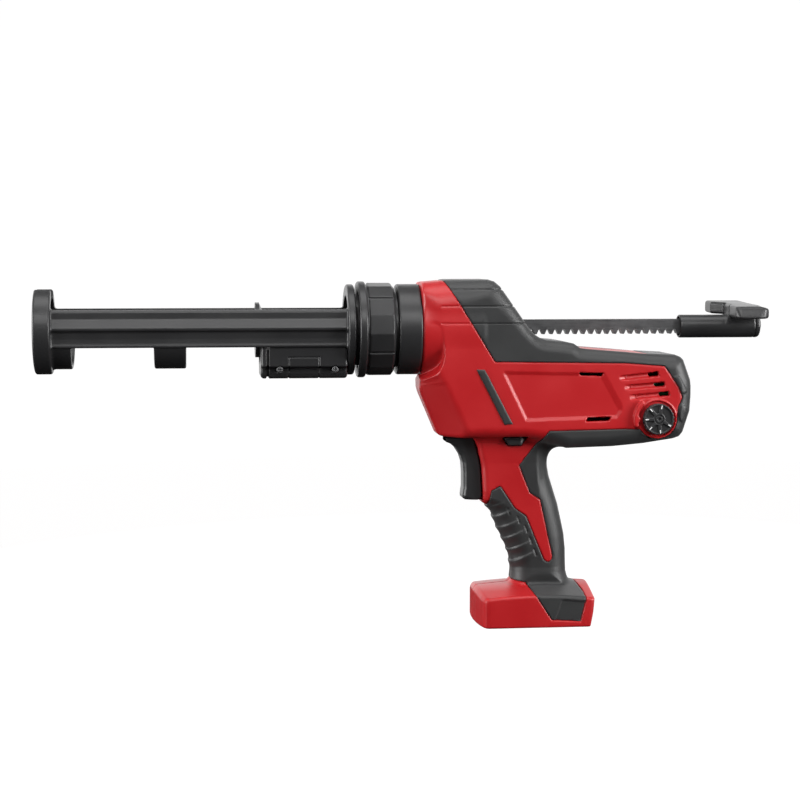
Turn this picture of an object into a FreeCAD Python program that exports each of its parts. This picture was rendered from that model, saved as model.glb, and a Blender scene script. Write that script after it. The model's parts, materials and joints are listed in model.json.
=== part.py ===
import FreeCAD, Part
import math
import os

# Cordless caulking tool with a slide-on battery foot. Sizes are millimetres.
# The origin is the middle of the foot's resting edge; +X runs to the rear, +Y to the tool's right, +Z up.

# Overall layout
axis_height = 228.0
neck_offset = 88.5
body_length = 209.5
body_height = 129.0
body_width = 68.0
wall = 2.8
skin = 1.4
gap = 0.3
seat = 0.05
overrun = 60.0

# Housing barrel: along, bottom, top, bottom width, top width, bottom rounding, top rounding
chin_share = -0.637
body_station_shares = [
    (0.000, -0.310, 0.289, 0.97, 1.00, 0.20, 0.76),
    (0.051, -0.525, 0.295, 0.72, 1.00, 0.14, 0.76),
    (0.094, chin_share, 0.298, 0.78, 1.00, 0.15, 0.76),
    (0.170, chin_share, 0.300, 1.00, 1.00, 0.20, 0.76),
    (0.268, chin_share, 0.300, 1.00, 1.00, 0.20, 0.74),
    (0.301, chin_share, 0.254, 1.00, 1.00, 0.20, 0.62),
    (0.399, -0.643, 0.012, 1.00, 1.00, 0.24, 0.34),
    (0.431, -0.655, -0.044, 1.00, 1.00, 0.28, 0.30),
    (0.478, -0.680, -0.065, 1.00, 1.00, 0.34, 0.30),
    (0.533, -0.696, -0.074, 1.00, 1.00, 0.36, 0.30),
    (0.884, -0.649, -0.144, 1.00, 1.00, 0.36, 0.30),
    (0.957, -0.625, -0.162, 0.96, 0.96, 0.34, 0.26),
    (0.986, -0.519, -0.236, 0.88, 0.88, 0.26, 0.20),
    (1.000, -0.383, -0.307, 0.76, 0.76, 0.12, 0.12),
]

# Grip: down, front, rear, width, rounding
grip_top = 152.0
grip_length = 121.6
grip_depth = 55.0
grip_width = 36.0
grip_station_shares = [
    (0.000, -0.809, 0.545, 1.10, 0.40),
    (0.112, -0.753, 0.352, 1.10, 0.40),
    (0.219, -0.705, 0.228, 1.00, 0.42),
    (0.437, -0.698, 0.332, 0.96, 0.45),
    (0.487, -0.615, 0.360, 0.94, 0.80),
    (0.625, -0.484, 0.421, 0.94, 0.92),
    (0.794, -0.330, 0.496, 0.90, 0.92),
    (0.900, -0.284, 0.504, 0.90, 0.92),
    (1.000, -0.300, 0.546, 1.00, 0.92),
    (1.060, -0.330, 0.570, 1.02, 0.92),
]

# Battery foot: up, front, rear, width
foot_length = 92.9
foot_height = 30.5
foot_width = 78.0
foot_round = 9.0
foot_round_share = 0.8
foot_eaves_share = 0.738
foot_station_shares = [
    (0.000, -0.917, 0.852, 0.928),
    (0.115, -0.983, 0.874, 1.000),
    (0.393, -1.000, 0.903, 1.000),
    (foot_eaves_share, -0.983, 0.942, 1.000),
    (0.820, -0.957, 0.933, 0.744),
    (0.902, -0.905, 0.916, 0.474),
    (0.967, -0.776, 0.886, 0.236),
    (1.000, -0.474, 0.774, 0.220),
]
bay_front = 28.0
bay_half_width = 30.0
bay_depth = 18.0
bay_rail_height = 6.0
bay_rail_thickness = 3.0
bay_rail_reach = 4.0

# Regions on the side of the housing, in shares of body length behind the neck and body height over the axis
red_side_shares = [
    (-0.05, 0.45), (0.105, 0.45), (0.105, 0.295), (0.286, -0.189), (0.757, -0.196), (0.901, -0.212),
    (0.955, -0.344), (0.966, -0.400), (0.942, -0.472), (0.760, -0.583), (0.472, -0.595), (0.442, -0.649),
    (0.372, -0.798), (0.413, -0.963), (0.449, -1.000), (0.495, -1.339), (0.476, -1.368), (0.458, -1.336),
    (0.400, -1.096), (0.359, -1.050), (0.306, -0.920), (0.273, -0.950), (0.250, -1.060), (-0.05, -1.060),
]
foot_dark_shares = [
    (0.308, -1.513), (0.391, -1.519), (0.415, -1.575), (0.474, -1.722), (0.582, -1.734), (0.601, -1.609),
    (0.602, -1.569), (0.589, -1.527), (0.587, -1.419), (0.308, -1.419),
]
panel_shares = [
    (0.319, -0.241), (0.686, -0.253), (0.749, -0.441), (0.731, -0.524), (0.397, -0.544), (0.315, -0.265),
]
panel_depth = 1.0
pad_shares = [(0.217, -0.231), (0.251, -0.231), (0.353, -0.558), (0.321, -0.563)]
pad_proud = 1.2
pad_sunk = 1.0
vent_shares = [(0.763, -0.280), (0.782, -0.336), (0.800, -0.394)]
vent_length_share = 0.115
vent_rise_share = 0.020
vent_height = 2.9

# Housing screws: along and up in shares of the barrel, with the depth of each head's seat
screw_place_shares = [(0.110, -0.575), (0.235, 0.215), (0.925, -0.240), (0.430, -0.612)]
screw_seat = 14.0
grip_screw_height = 60.0
grip_screw_x = 6.0
grip_screw_seat = 8.0
screw_radius = 1.5
screw_reach = 10.0
screw_head_radius = 3.2
screw_head_height = 2.4
boss_radius = 4.6

# Nose, collar and carriage
nose_radius = 34.8
nose_length = 18.0
nose_tube_radius = 31.0
nose_spigot_radius = 28.9
nose_spigot_length = 4.0
nose_wall = 8.0
nose_screw_across = 11.0
nose_screw_rises = (13.0, -20.0)
nose_screw_length = 9.0
collar_gap = 1.0
collar_length = 28.5
collar_radius = 35.7
collar_flange_radius = 36.9
collar_flange_length = 6.4
collar_lip = 2.7
ring_gap = 0.4
ring_length = 8.0
ring_radius = 34.7
ring_shoulder = 4.0
spigot_radius = 27.3
plunger_pass_radius = 22.2
lug_height = 2.8
lug_length = 3.6
lug_angle = 34.0
lug_slack_angle = 6.0
lug_count = 3
bay_length = 221.6
bay_radius = 25.9
plate_radius = 33.2
plate_thickness = 13.0
plate_wall = 4.0
notch_half_width = 10.5
rail_reach = 29.5
rail_section_shares = [
    (0.60, 0.545), (0.865, 0.545), (0.95, 0.25), (1.00, 0.17), (1.00, 0.045), (0.94, 0.0), (0.875, -0.41),
    (0.60, -0.41),
]
strap_radius = 29.2
strap_half_width = 15.0
front_strap_length = 15.0
middle_strap_setback = 76.0
middle_strap_length = 24.0
strap_key = 4.0

# Seal puncture tool under the carriage
puncture_length = 65.8
puncture_drop = 36.3
puncture_half_width = 25.4
puncture_pocket_half_width = 5.6
puncture_pocket_height = 9.0
puncture_pocket_end = 4.0
pin_radius = 1.6
pin_length = 50.0
pin_hub_radius = 4.0
pin_hub_half_width = 5.0
pin_axle_radius = 1.5
pin_axle_half_length = 8.0
pin_setback = 5.6
pin_rise = 4.8
puncture_screw_radius = 1.2
puncture_screw_head = 2.2
puncture_screw_length = 9.0
puncture_screw_rise = 7.0
puncture_screw_setbacks = (9.8, 51.6)

# Rod: rack, plunger and handle
rack_module = 2.0
rack_width = 8.0
rack_rise = 7.2
rack_pitch_drop = 2.6
rack_front_setback = 117.1
rack_toothed_setback = 45.0
rack_toothed_length = 303.0
rack_length = 371.0
plunger_radius = 21.0
plunger_thickness = 8.1
plunger_rim = 3.0
plunger_hub_radius = 9.0
plunger_screw_radius = 2.5
plunger_screw_depth = 16.0
plunger_head_radius = 5.0
plunger_head_height = 2.5
handle_setback = 206.0
handle_length = 65.0
handle_radius = 9.0
handle_bore_radius = 7.5
handle_bore_depth = 58.0
handle_pin_radius = 2.0
handle_pin_setback = 27.0
handle_pin_cover = 0.8
wing_half_span = 36.0
wing_front_setback = 32.5
wing_rear_setback = 2.0
wing_height = 11.0
wing_rise = 8.65
wing_waist = 6.0
wing_waist_half_width = 12.0
wing_round = 9.0

# Gear train: the rack pinion, the spur pair, the bevel pair and the planet stage
pressure_angle = 25.0
flank_steps = 4
backlash = 0.2
addendum_share = 0.85
dedendum_share = 1.15
pinion_setback = 38.5
pinion_teeth = 12
pinion_half_width = 5.0
spur_module = 1.5
spur_teeth = 32
spur_pinion_teeth = 16
spur_near = 8.2
spur_far = 15.0
shaft_radius = 4.0
spacer_radius = 6.0
bevel_module = 1.25
bevel_teeth = 24
bevel_pinion_teeth = 12
bevel_width_share = 0.30
bevel_fill_share = 0.40
bevel_tip_share = 0.60
bevel_root_share = 1.25
bevel_addendum = 0.85
bevel_dedendum = 1.35
bevel_hub = 4.5
planet_module = 0.8
sun_teeth = 12
planet_teeth = 15
planet_count = 3
ring_outer_radius = 21.0
ring_gear_length = 20.0
planet_width = 8.0
planet_pin_radius = 1.5
carrier_radius = 14.5
carrier_thickness = 3.0
carrier_clearance = 1.5
sun_width = 7.0

# Gear frame and bearings
frame_left = 13.0
frame_right = 16.0
frame_plate = 3.0
frame_front_reach = 28.0
frame_rear_reach = 30.0
frame_bottom_drop = 17.4
frame_top_rise = 17.0
frame_toe = 16.0
bearing_radius = 7.0
guide_wall = 3.0
guide_length = 10.0
rear_guide_length = 6.0

# Motor
motor_length = 62.0
motor_radius = 21.0
motor_wall = 1.6
motor_front = 2.0
magnet_thickness = 3.0
magnet_length = 34.0
magnet_setback = 6.0
magnet_angle = 130.0
rotor_radius = 15.4
rotor_length = 34.0
rotor_shaft_radius = 2.5
rotor_tail = 17.0
commutator_radius = 7.0
commutator_length = 10.0
brush_width = 5.0
brush_height = 6.0
end_cap_thickness = 4.0
fan_radius = 21.0
fan_plate = 1.4
fan_length = 9.0
fan_hub_radius = 5.0
fan_blades = 9
fan_blade_thickness = 1.2
fan_setback = 1.5
bulkhead = 2.4

# Trigger, switch and lock-off button
trigger_setback = 20.6
trigger_length = 29.8
trigger_height = 45.6
trigger_half_width = 11.0
trigger_gap = 0.4
trigger_travel = 6.0
trigger_outline_shares = [
    (0.00, 0.00, 0.02), (0.82, 0.00, 0.04), (0.97, -0.50, 0.40), (1.00, -1.00, 0.06), (0.38, -1.00, 0.06),
    (0.39, -0.22, 0.10), (0.23, -0.10, 0.07),
]
stem_radius = 3.0
stem_length = 12.5
stem_drop = 18.0
switch_length = 34.0
switch_half_width = 11.0
switch_height = 36.0
switch_drop = 7.0
button_setback = 63.4
button_length = 18.9
button_height = 6.4
button_half_length = 23.4
button_taper_share = 0.28
button_drop = 0.2

# Speed dial, potentiometer and control board
dial_setback = 181.4
dial_drop = 68.4
dial_radius = 12.2
dial_thickness = 5.0
dial_boss_radius = 14.0
dial_boss_face = 34.4
dial_shaft_radius = 3.0
dial_shaft_reach = 9.0
dial_grips = 14
dial_grip_radius = 1.3
pot_length = 7.0
pot_half_width = 8.0
board_thickness = 1.6
board_face = 17.0
board_front_reach = 10.0
board_rear_reach = 14.0
board_down = 9.0
board_up = 26.0
board_post_radius = 2.4
board_post_inset = 4.0

# Battery terminals and leads
terminal_front = 20.0
terminal_rear = 4.0
terminal_half_width = 14.0
terminal_drop = 9.0
blade_count = 4
blade_pitch = 7.0
blade_thickness = 0.8
blade_length = 16.0
blade_height = 5.0
lead_radius = 1.3
lead_half_spacing = 4.0
lead_hole_slack = 0.4

V = FreeCAD.Vector
neck_x = -neck_offset
nose_front_x = neck_x - nose_length
nose_rear_x = neck_x + wall + nose_spigot_length
collar_rear_x = nose_front_x - collar_gap
collar_front_x = collar_rear_x - collar_length
ring_rear_x = collar_front_x - ring_gap
ring_front_x = ring_rear_x - ring_length
plate_rear_x = ring_front_x - bay_length
plate_front_x = plate_rear_x - plate_thickness
rack_front_x = neck_x - rack_front_setback
rack_middle_z = axis_height + (rack_rise - rack_pitch_drop - rack_module * addendum_share) / 2
pinion_x = neck_x + pinion_setback
pinion_z = axis_height - rack_pitch_drop - rack_module * pinion_teeth / 2
motor_z = pinion_z - spur_module * (spur_teeth + spur_pinion_teeth) / 2
frame_front_x = pinion_x - frame_front_reach
frame_rear_x = pinion_x + frame_rear_reach
ring_gear_x = frame_rear_x + frame_plate
motor_x = ring_gear_x + ring_gear_length
motor_rear_x = motor_x + motor_length
trigger_top_z = axis_height + chin_share * body_height - trigger_gap
trigger_x = neck_x + trigger_setback
switch_x = trigger_x + trigger_length + trigger_travel + trigger_gap + gap
switch_top_z = trigger_top_z - switch_drop
dial_x = neck_x + dial_setback
dial_z = axis_height - dial_drop


def on_side(y):
    return lambda a, b: V(a, y, b)


def on_section(x):
    return lambda a, b: V(x, a, b)


def on_plan(z):
    return lambda a, b: V(a, b, z)


def rounded_wire(corners, place):
    """Closed wire through (a, b, radius) corners, each rounded by a tangent arc."""
    stretches = []
    for index, (a, b, radius) in enumerate(corners):
        here = V(a, b, 0)
        back = V(*corners[index - 1][:2], 0) - here
        ahead = V(*corners[(index + 1) % len(corners)][:2], 0) - here
        back.normalize()
        ahead.normalize()
        half_turn = back.getAngle(ahead) / 2
        cut = radius / math.tan(half_turn)
        middle = back + ahead
        middle.normalize()
        crown = here + middle * (radius / math.sin(half_turn) - radius)
        stretches.append((here + back * cut, crown, here + ahead * cut, radius))
    edges = []
    for index, (start, crown, end, radius) in enumerate(stretches):
        following = stretches[(index + 1) % len(stretches)][0]
        if radius > 0:
            arc = Part.Arc(*[place(point.x, point.y) for point in (start, crown, end)])
            edges.append(arc.toShape())
        edges.append(Part.makeLine(place(end.x, end.y), place(following.x, following.y)))
    return Part.Wire(edges)


def polygon(points, place):
    corners = [place(a, b) for a, b in points]
    return Part.makePolygon(corners + corners[:1])


def solid_between(wire, direction):
    return Part.Face(wire).extrude(direction)


def box(x, y, z):
    return Part.makeBox(x[1] - x[0], y[1] - y[0], z[1] - z[0], V(x[0], y[0], z[0]))


def rod_x(radius, low, high, y=0, z=axis_height):
    return Part.makeCylinder(radius, high - low, V(low, y, z), V(1, 0, 0))


def rod_y(radius, low, high, x, z):
    return Part.makeCylinder(radius, high - low, V(x, low, z), V(0, 1, 0))


def rod_z(radius, low, high, x, y):
    return Part.makeCylinder(radius, high - low, V(x, y, low), V(0, 0, 1))


def tube_x(outer, inner, low, high, y=0, z=axis_height):
    return rod_x(outer, low, high, y, z).cut(rod_x(inner, low - overrun, high + overrun, y, z))


def tube_y(outer, inner, low, high, x, z):
    return rod_y(outer, low, high, x, z).cut(rod_y(inner, low - overrun, high + overrun, x, z))


def sector_x(outer, inner, low, high, middle_angle, angle):
    """Part of a tube round the cartridge axis, spread about middle_angle."""
    ring = Part.makeCylinder(outer, high - low, V(low, 0, axis_height), V(1, 0, 0), angle)
    ring = ring.cut(rod_x(inner, low - overrun, high + overrun))
    ring.rotate(V(low, 0, axis_height), V(1, 0, 0), middle_angle - angle / 2)
    return ring


def side_points(shares):
    return [(neck_x + along * body_length, axis_height + up * body_height) for along, up in shares]


def side_prism(shares, low, high):
    return solid_between(polygon(side_points(shares), on_side(low)), V(0, high - low, 0))


def gear_points(module, teeth, addendum, dedendum, thinning, tooth_angle=0):
    """Involute outline round the origin with a tooth at tooth_angle."""
    pitch = module * teeth / 2
    base = pitch * math.cos(math.radians(pressure_angle))
    tip = pitch + addendum
    root = pitch - dedendum

    def involute(radius):
        angle = math.acos(min(base / radius, 1))
        return math.tan(angle) - angle

    def half_angle(radius):
        centre = (math.pi * module / 2 - thinning) / (2 * pitch)
        return centre + involute(pitch) - involute(max(radius, base))

    start = max(base, root)
    radii = [root] if root < base else []
    radii += [start + (tip - start) * step / flank_steps for step in range(flank_steps + 1)]
    points = []
    for tooth in range(teeth):
        centre = math.radians(tooth_angle) + 2 * math.pi * tooth / teeth
        rising = [(radius, centre - half_angle(radius)) for radius in radii]
        falling = [(radius, centre + half_angle(radius)) for radius in reversed(radii)]
        points += [(r * math.cos(angle), r * math.sin(angle)) for r, angle in rising + falling]
    return points


def spur(module, teeth, tooth_angle=0):
    addendum, dedendum = module * addendum_share, module * dedendum_share
    return gear_points(module, teeth, addendum, dedendum, backlash, tooth_angle)


def gear_y(points, low, high, x, z):
    wire = polygon([(x + a, z + b) for a, b in points], on_side(low))
    return solid_between(wire, V(0, high - low, 0))


def gear_x(points, low, high, y, z):
    wire = polygon([(y + a, z + b) for a, b in points], on_section(low))
    return solid_between(wire, V(high - low, 0, 0))


def bevel_points(teeth, reach, mate_reach, tooth_angle):
    """Outline of a bevel gear's wide end: reach is its pitch radius, mate_reach its distance from the apex."""
    cone = math.atan2(reach, mate_reach)
    length = math.hypot(reach, mate_reach)
    tip = mate_reach * math.tan(cone + math.atan2(bevel_addendum, length))
    root = mate_reach * math.tan(cone - math.atan2(bevel_dedendum, length))
    half = bevel_fill_share * math.pi / teeth
    steps = [(root, half * bevel_root_share), (reach, half), (tip, half * bevel_tip_share)]
    points = []
    for tooth in range(teeth):
        centre = tooth_angle + 2 * math.pi * tooth / teeth
        rising = [(radius, centre - spread) for radius, spread in steps]
        falling = [(radius, centre + spread) for radius, spread in reversed(steps)]
        points += [(r * math.cos(angle), r * math.sin(angle)) for r, angle in rising + falling]
    return points


# Housing: barrel, grip and foot as one hollow form, split down the middle

def barrel(inset):
    half = body_width / 2
    last = len(body_station_shares) - 1
    wires = []
    for index, station in enumerate(body_station_shares):
        along, low, high, low_width, high_width, low_round, high_round = station
        x = neck_x + along * body_length
        if index == 0:
            x += inset
        if index == last:
            x -= inset
        bottom = axis_height + low * body_height + inset
        top = axis_height + high * body_height - inset
        low_half = low_width * half - inset
        high_half = high_width * half - inset
        low_radius = low_round * half - inset
        high_radius = high_round * half - inset
        corners = [
            (-low_half, bottom, low_radius), (low_half, bottom, low_radius),
            (high_half, top, high_radius), (-high_half, top, high_radius),
        ]
        wires.append(rounded_wire(corners, on_section(x)))
    return Part.makeLoft(wires, True, True)


def plan_form(rows, inset):
    """Loft through rounded rectangles given upward as (z, front x, rear x, half width, corner radius)."""
    wires = []
    last = len(rows) - 1
    for index, (z, front, rear, half, radius) in enumerate(rows):
        if index == 0:
            z += inset
        if index == last:
            z -= inset
        front += inset
        rear -= inset
        half -= inset
        radius -= inset
        corners = [(front, -half, radius), (rear, -half, radius), (rear, half, radius), (front, half, radius)]
        wires.append(rounded_wire(corners, on_plan(z)))
    return Part.makeLoft(wires, True, True)


def grip(inset):
    rows = []
    for down, front, rear, width, rounding in reversed(grip_station_shares):
        half = width * grip_width / 2
        z = grip_top - down * grip_length
        rows.append((z, front * grip_depth, rear * grip_depth, half, rounding * half))
    return plan_form(rows, inset)


def foot(inset):
    half_length = foot_length / 2
    rows = []
    for up, front, rear, width in foot_station_shares:
        half = width * foot_width / 2
        z = up * foot_height
        if foot_eaves_share < up < 1:
            z -= inset
        radius = min(foot_round, foot_round_share * half)
        rows.append((z, front * half_length, rear * half_length, half, radius))
    return plan_form(rows, inset)


def outer_form(inset):
    return barrel(inset).fuse([grip(inset), foot(inset)]).removeSplitter()


def hollow():
    """Space inside the walls of the barrel and the grip."""
    floor = bay_depth + wall
    over_floor = box((-overrun, overrun), (-overrun, overrun), (floor, grip_top + overrun))
    inside_grip = grip(wall).common(over_floor)
    return barrel(wall).fuse(inside_grip)


def battery_bay():
    """Downward pocket, open to the rear, with a rail along each side."""
    length = (-bay_front, foot_length / 2 + overrun)
    bay = box(length, (-bay_half_width, bay_half_width), (-overrun, bay_depth))
    rail_z = (bay_rail_height, bay_rail_height + bay_rail_thickness)
    for side in (-1, 1):
        reach = sorted((side * (bay_half_width - bay_rail_reach), side * (bay_half_width + overrun)))
        bay = bay.cut(box(length, reach, rail_z))
    return bay


def bosses(inside):
    """Screw pillars, and bulkheads round the drive."""
    half = body_width / 2
    places = side_points(screw_place_shares) + [(grip_screw_x, grip_screw_height)]
    pieces = [rod_y(boss_radius, -half, half, x, z) for x, z in places]
    chin_floor = axis_height + chin_share * body_height + wall
    for x in (ring_gear_x, motor_rear_x - bulkhead):
        plate = box((x, x + bulkhead), (-half, half), (chin_floor, motor_z + motor_radius + wall))
        pieces.append(plate.cut(rod_x(motor_radius + seat, x - overrun, x + overrun, 0, motor_z)))
    return pieces[0].multiFuse(pieces[1:]).common(inside)


def board_posts():
    low = -body_width / 2 + wall / 2
    xs = (dial_x - board_front_reach + board_post_inset, dial_x + board_rear_reach - board_post_inset)
    z = dial_z + board_up - board_post_inset
    return [rod_y(board_post_radius, low, -board_face, x, z) for x in xs]


def housing_cuts():
    half = body_width / 2
    far = half + overrun
    cuts = [rod_x(nose_spigot_radius + seat, neck_x - overrun, neck_x + overrun)]
    rack_low = axis_height - rack_pitch_drop - rack_module * addendum_share - gap
    rack_slot = (-rack_width / 2 - gap, rack_width / 2 + gap)
    cuts.append(box((pinion_x, overrun), rack_slot, (rack_low, axis_height + rack_rise + gap)))
    pocket_x = (trigger_x, switch_x)
    pocket_y = (-trigger_half_width - trigger_gap, trigger_half_width + trigger_gap)
    pocket_z = (trigger_top_z - trigger_height - trigger_gap, trigger_top_z + trigger_gap)
    cuts.append(box(pocket_x, pocket_y, pocket_z))
    cuts.append(lock_button(gap, far))
    cuts.append(rod_y(dial_shaft_radius + gap, -far, -board_face, dial_x, dial_z))
    for side in (-1, 1):
        skin_y = sorted((side * (half - panel_depth), side * far))
        cuts.append(side_prism(panel_shares, *skin_y))
        pad_y = sorted((side * (half - pad_sunk - seat), side * far))
        cuts.append(side_prism(pad_shares, *pad_y))
        vent_y = sorted((side * (half - wall - seat), side * far))
        for along, up in vent_shares:
            x, z = side_points([(along, up)])[0]
            run = vent_length_share * body_length
            rise = vent_rise_share * body_height
            slot = [(x, z), (x + run, z + rise), (x + run, z + rise + vent_height), (x, z + vent_height)]
            cuts.append(solid_between(polygon(slot, on_side(vent_y[0])), V(0, vent_y[1] - vent_y[0], 0)))
    for x, z, seat_y in screw_places():
        cuts.append(rod_y(screw_radius + seat, -screw_reach - seat, seat_y, x, z))
        cuts.append(rod_y(screw_head_radius + gap, seat_y, far, x, z))
    for side in (-1, 1):
        hole = lead_radius + lead_hole_slack
        cuts.append(rod_z(hole, 0, bay_depth + overrun, 0, side * lead_half_spacing))
    return cuts


def screw_places():
    places = [(x, z, screw_seat) for x, z in side_points(screw_place_shares)]
    return places + [(grip_screw_x, grip_screw_height, grip_screw_seat)]


def housing_and_overmould():
    whole = outer_form(0)
    inside = hollow()
    dial_disc = rod_y(dial_boss_radius, -body_width, body_width, dial_x, dial_z)
    red = side_prism(red_side_shares, -body_width, body_width).fuse(dial_disc)
    foot_zone = box((-foot_length, foot_length), (-foot_width, foot_width), (-overrun, foot_height))
    dark_foot = side_prism(foot_dark_shares, -foot_width, foot_width)
    red = red.fuse(foot_zone.cut(dark_foot))
    dark = whole.cut(outer_form(skin)).cut(red)
    dial_boss = rod_y(dial_boss_radius, -dial_boss_face, -dial_boss_face + wall, dial_x, dial_z)
    walls = whole.cut(inside).cut(battery_bay()).fuse([bosses(inside), dial_boss])
    cuts = housing_cuts()
    walls = walls.cut(dark).cut(cuts)
    dark = dark.cut(cuts)
    halves = {}
    for name, y in (("left", (-foot_width, 0)), ("right", (0, foot_width))):
        side = box((-foot_length - body_length, body_length), y, (-overrun, axis_height + body_height))
        shell = walls.common(side)
        if name == "left":
            shell = shell.fuse(board_posts())
        halves["housing_" + name] = shell
        halves["overmould_" + name] = dark.common(side)
    return halves


def side_pad(side):
    half = body_width / 2
    low, high = sorted((side * (half - pad_sunk), side * (half + pad_proud)))
    return side_prism(pad_shares, low, high)


def housing_screw(x, z, seat_y):
    shank = rod_y(screw_radius, -screw_reach, seat_y, x, z)
    return shank.fuse(rod_y(screw_head_radius, seat_y, seat_y + screw_head_height, x, z))


# Nose, collar and carriage

def nose_ring():
    ring = rod_x(nose_radius, nose_front_x, neck_x)
    ring = ring.fuse(rod_x(nose_tube_radius, nose_tube_front(), nose_front_x))
    ring = ring.fuse(rod_x(nose_spigot_radius, neck_x, nose_rear_x))
    bore = rod_x(spigot_radius + gap, nose_tube_front() - overrun, nose_rear_x - nose_wall)
    holes = [nose_screw(y, z, seat) for y, z in nose_screw_places()]
    return ring.cut([bore, rod_hole(nose_front_x, nose_rear_x + overrun, gap)] + holes)


def nose_screw_places():
    sides = (-nose_screw_across, nose_screw_across)
    return [(y, axis_height + rise) for y in sides for rise in nose_screw_rises]


def nose_screw(y, z, slack=0):
    """Screw from the gear frame's front wall forward into the nose."""
    head_x = frame_front_x - screw_head_height
    shank = rod_x(screw_radius + slack, head_x - nose_screw_length - slack, head_x, y, z)
    return shank.fuse(rod_x(screw_head_radius + slack, head_x, frame_front_x, y, z))


def lug_rear():
    return collar_front_x + collar_lip + gap + lug_length


def nose_tube_front():
    return lug_rear() + gap


def rod_hole(low, high, slack):
    y = (-rack_width / 2 - slack, rack_width / 2 + slack)
    bottom = axis_height - rack_pitch_drop - rack_module * addendum_share - slack
    return box((low, high), y, (bottom, axis_height + rack_rise + slack))


def rod_guide_front():
    low = nose_front_x + gap
    high = low + guide_length
    return rod_x(spigot_radius + gap - seat, low, high).cut(rod_hole(low - overrun, high + overrun, gap))


def bayonet(outer, low, high, turn, extra):
    pieces = []
    for index in range(lug_count):
        angle = turn + index * 360 / lug_count
        pieces.append(sector_x(outer, spigot_radius - wall, low, high, angle, lug_angle + extra))
    return pieces


def locking_collar():
    flange_end = collar_front_x + collar_flange_length
    collar = rod_x(collar_radius, collar_front_x, collar_rear_x)
    collar = collar.fuse(rod_x(collar_flange_radius, collar_front_x, flange_end))
    collar = collar.cut(rod_x(spigot_radius + gap, collar_front_x - overrun, collar_rear_x))
    bore = rod_x(nose_tube_radius + gap, collar_front_x + collar_lip, collar_rear_x + overrun)
    slots = bayonet(spigot_radius + lug_height + gap, collar_front_x - gap, collar_front_x + collar_lip + gap,
                    180 / lug_count, lug_slack_angle)
    return collar.cut([bore] + slots)


def carriage():
    cup_x = plate_front_x + plate_wall
    plate = rod_x(plate_radius, plate_front_x, plate_rear_x)
    pieces = []
    for side in (-1, 1):
        section = []
        for across, up in rail_section_shares:
            section.append((side * across * rail_reach, axis_height + up * rail_reach))
        rail = solid_between(polygon(section, on_section(cup_x)), V(ring_rear_x - cup_x, 0, 0))
        pieces.append(rail)
    middle_strap_x = plate_rear_x + middle_strap_setback
    straps = [(plate_rear_x, front_strap_length), (middle_strap_x, middle_strap_length)]
    below = axis_height - rail_reach * abs(rail_section_shares[-1][1])
    for start, length in straps:
        lower = box((start, start + length), (-overrun, overrun), (0, below + gap))
        strap = rod_x(strap_radius, start, start + length).common(lower)
        depth = (axis_height - strap_radius, axis_height)
        block = box((start, start + length), (-strap_half_width, strap_half_width), depth)
        key_x = start + length / 2
        key_span = (key_x - strap_key / 2, key_x + strap_key / 2)
        key = box(key_span, (-overrun, overrun), (0, depth[0] + strap_key / 2))
        pieces.append(strap.fuse(block).cut(key))
    ring = rod_x(ring_radius, ring_front_x, ring_rear_x)
    spigot = rod_x(spigot_radius, ring_rear_x, nose_front_x)
    lugs = bayonet(spigot_radius + lug_height, collar_front_x + collar_lip + gap, lug_rear(), 0, 0)
    solid = plate.fuse(pieces + [ring, spigot] + lugs)
    cartridge = rod_x(bay_radius, cup_x, ring_front_x + ring_shoulder)
    bore = rod_x(plunger_pass_radius, cup_x, nose_front_x + overrun)
    notch_top = axis_height + plate_radius + overrun
    notch_y = (-notch_half_width, notch_half_width)
    notch = box((plate_front_x - overrun, cup_x), notch_y, (axis_height, notch_top))
    rim = box((cup_x, plate_rear_x), notch_y, (axis_height, notch_top))
    nozzle = rod_x(notch_half_width, plate_front_x - overrun, cup_x)
    return solid.cut([cartridge, bore, notch, rim, nozzle]).removeSplitter()


# Seal puncture tool

puncture_x = ring_front_x - puncture_length
puncture_bottom = axis_height - puncture_drop
pin_x = ring_front_x - pin_setback
pin_z = puncture_bottom + pin_rise


def puncture_screw_places():
    z = puncture_bottom + puncture_screw_rise
    return [(ring_front_x - setback, z) for setback in puncture_screw_setbacks]


def puncture_housing():
    top = axis_height - rail_reach * abs(rail_section_shares[-1][1])
    y = (-puncture_half_width, puncture_half_width)
    block = box((puncture_x, ring_front_x), y, (puncture_bottom, top))
    block = block.cut(rod_x(bay_radius, puncture_x - overrun, ring_front_x + overrun))
    pocket_x = (puncture_x + puncture_pocket_end, ring_front_x - gap)
    pocket_y = (-puncture_pocket_half_width, puncture_pocket_half_width)
    pocket = box(pocket_x, pocket_y, (puncture_bottom - overrun, puncture_bottom + puncture_pocket_height))
    axle_end = pin_axle_half_length + seat
    axle = rod_y(pin_axle_radius + seat, -axle_end, axle_end, pin_x, pin_z)
    holes = [puncture_screw(x, z, seat) for x, z in puncture_screw_places()]
    return block.cut([pocket, axle] + holes)


def puncture_screw(x, z, slack=0):
    face = -puncture_half_width
    head_end = face + puncture_screw_head / 2
    shank = rod_y(puncture_screw_radius + slack, head_end, face + puncture_screw_length + slack, x, z)
    head_start = face - overrun if slack else face
    return shank.fuse(rod_y(puncture_screw_head + slack, head_start, head_end, x, z))


def puncture_pin():
    hub = rod_y(pin_hub_radius, -pin_hub_half_width, pin_hub_half_width, pin_x, pin_z)
    axle = rod_y(pin_axle_radius, -pin_axle_half_length, pin_axle_half_length, pin_x, pin_z)
    shank = rod_x(pin_radius, pin_x - pin_length, pin_x, 0, pin_z)
    return hub.fuse([axle, shank])


# Rod

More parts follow.
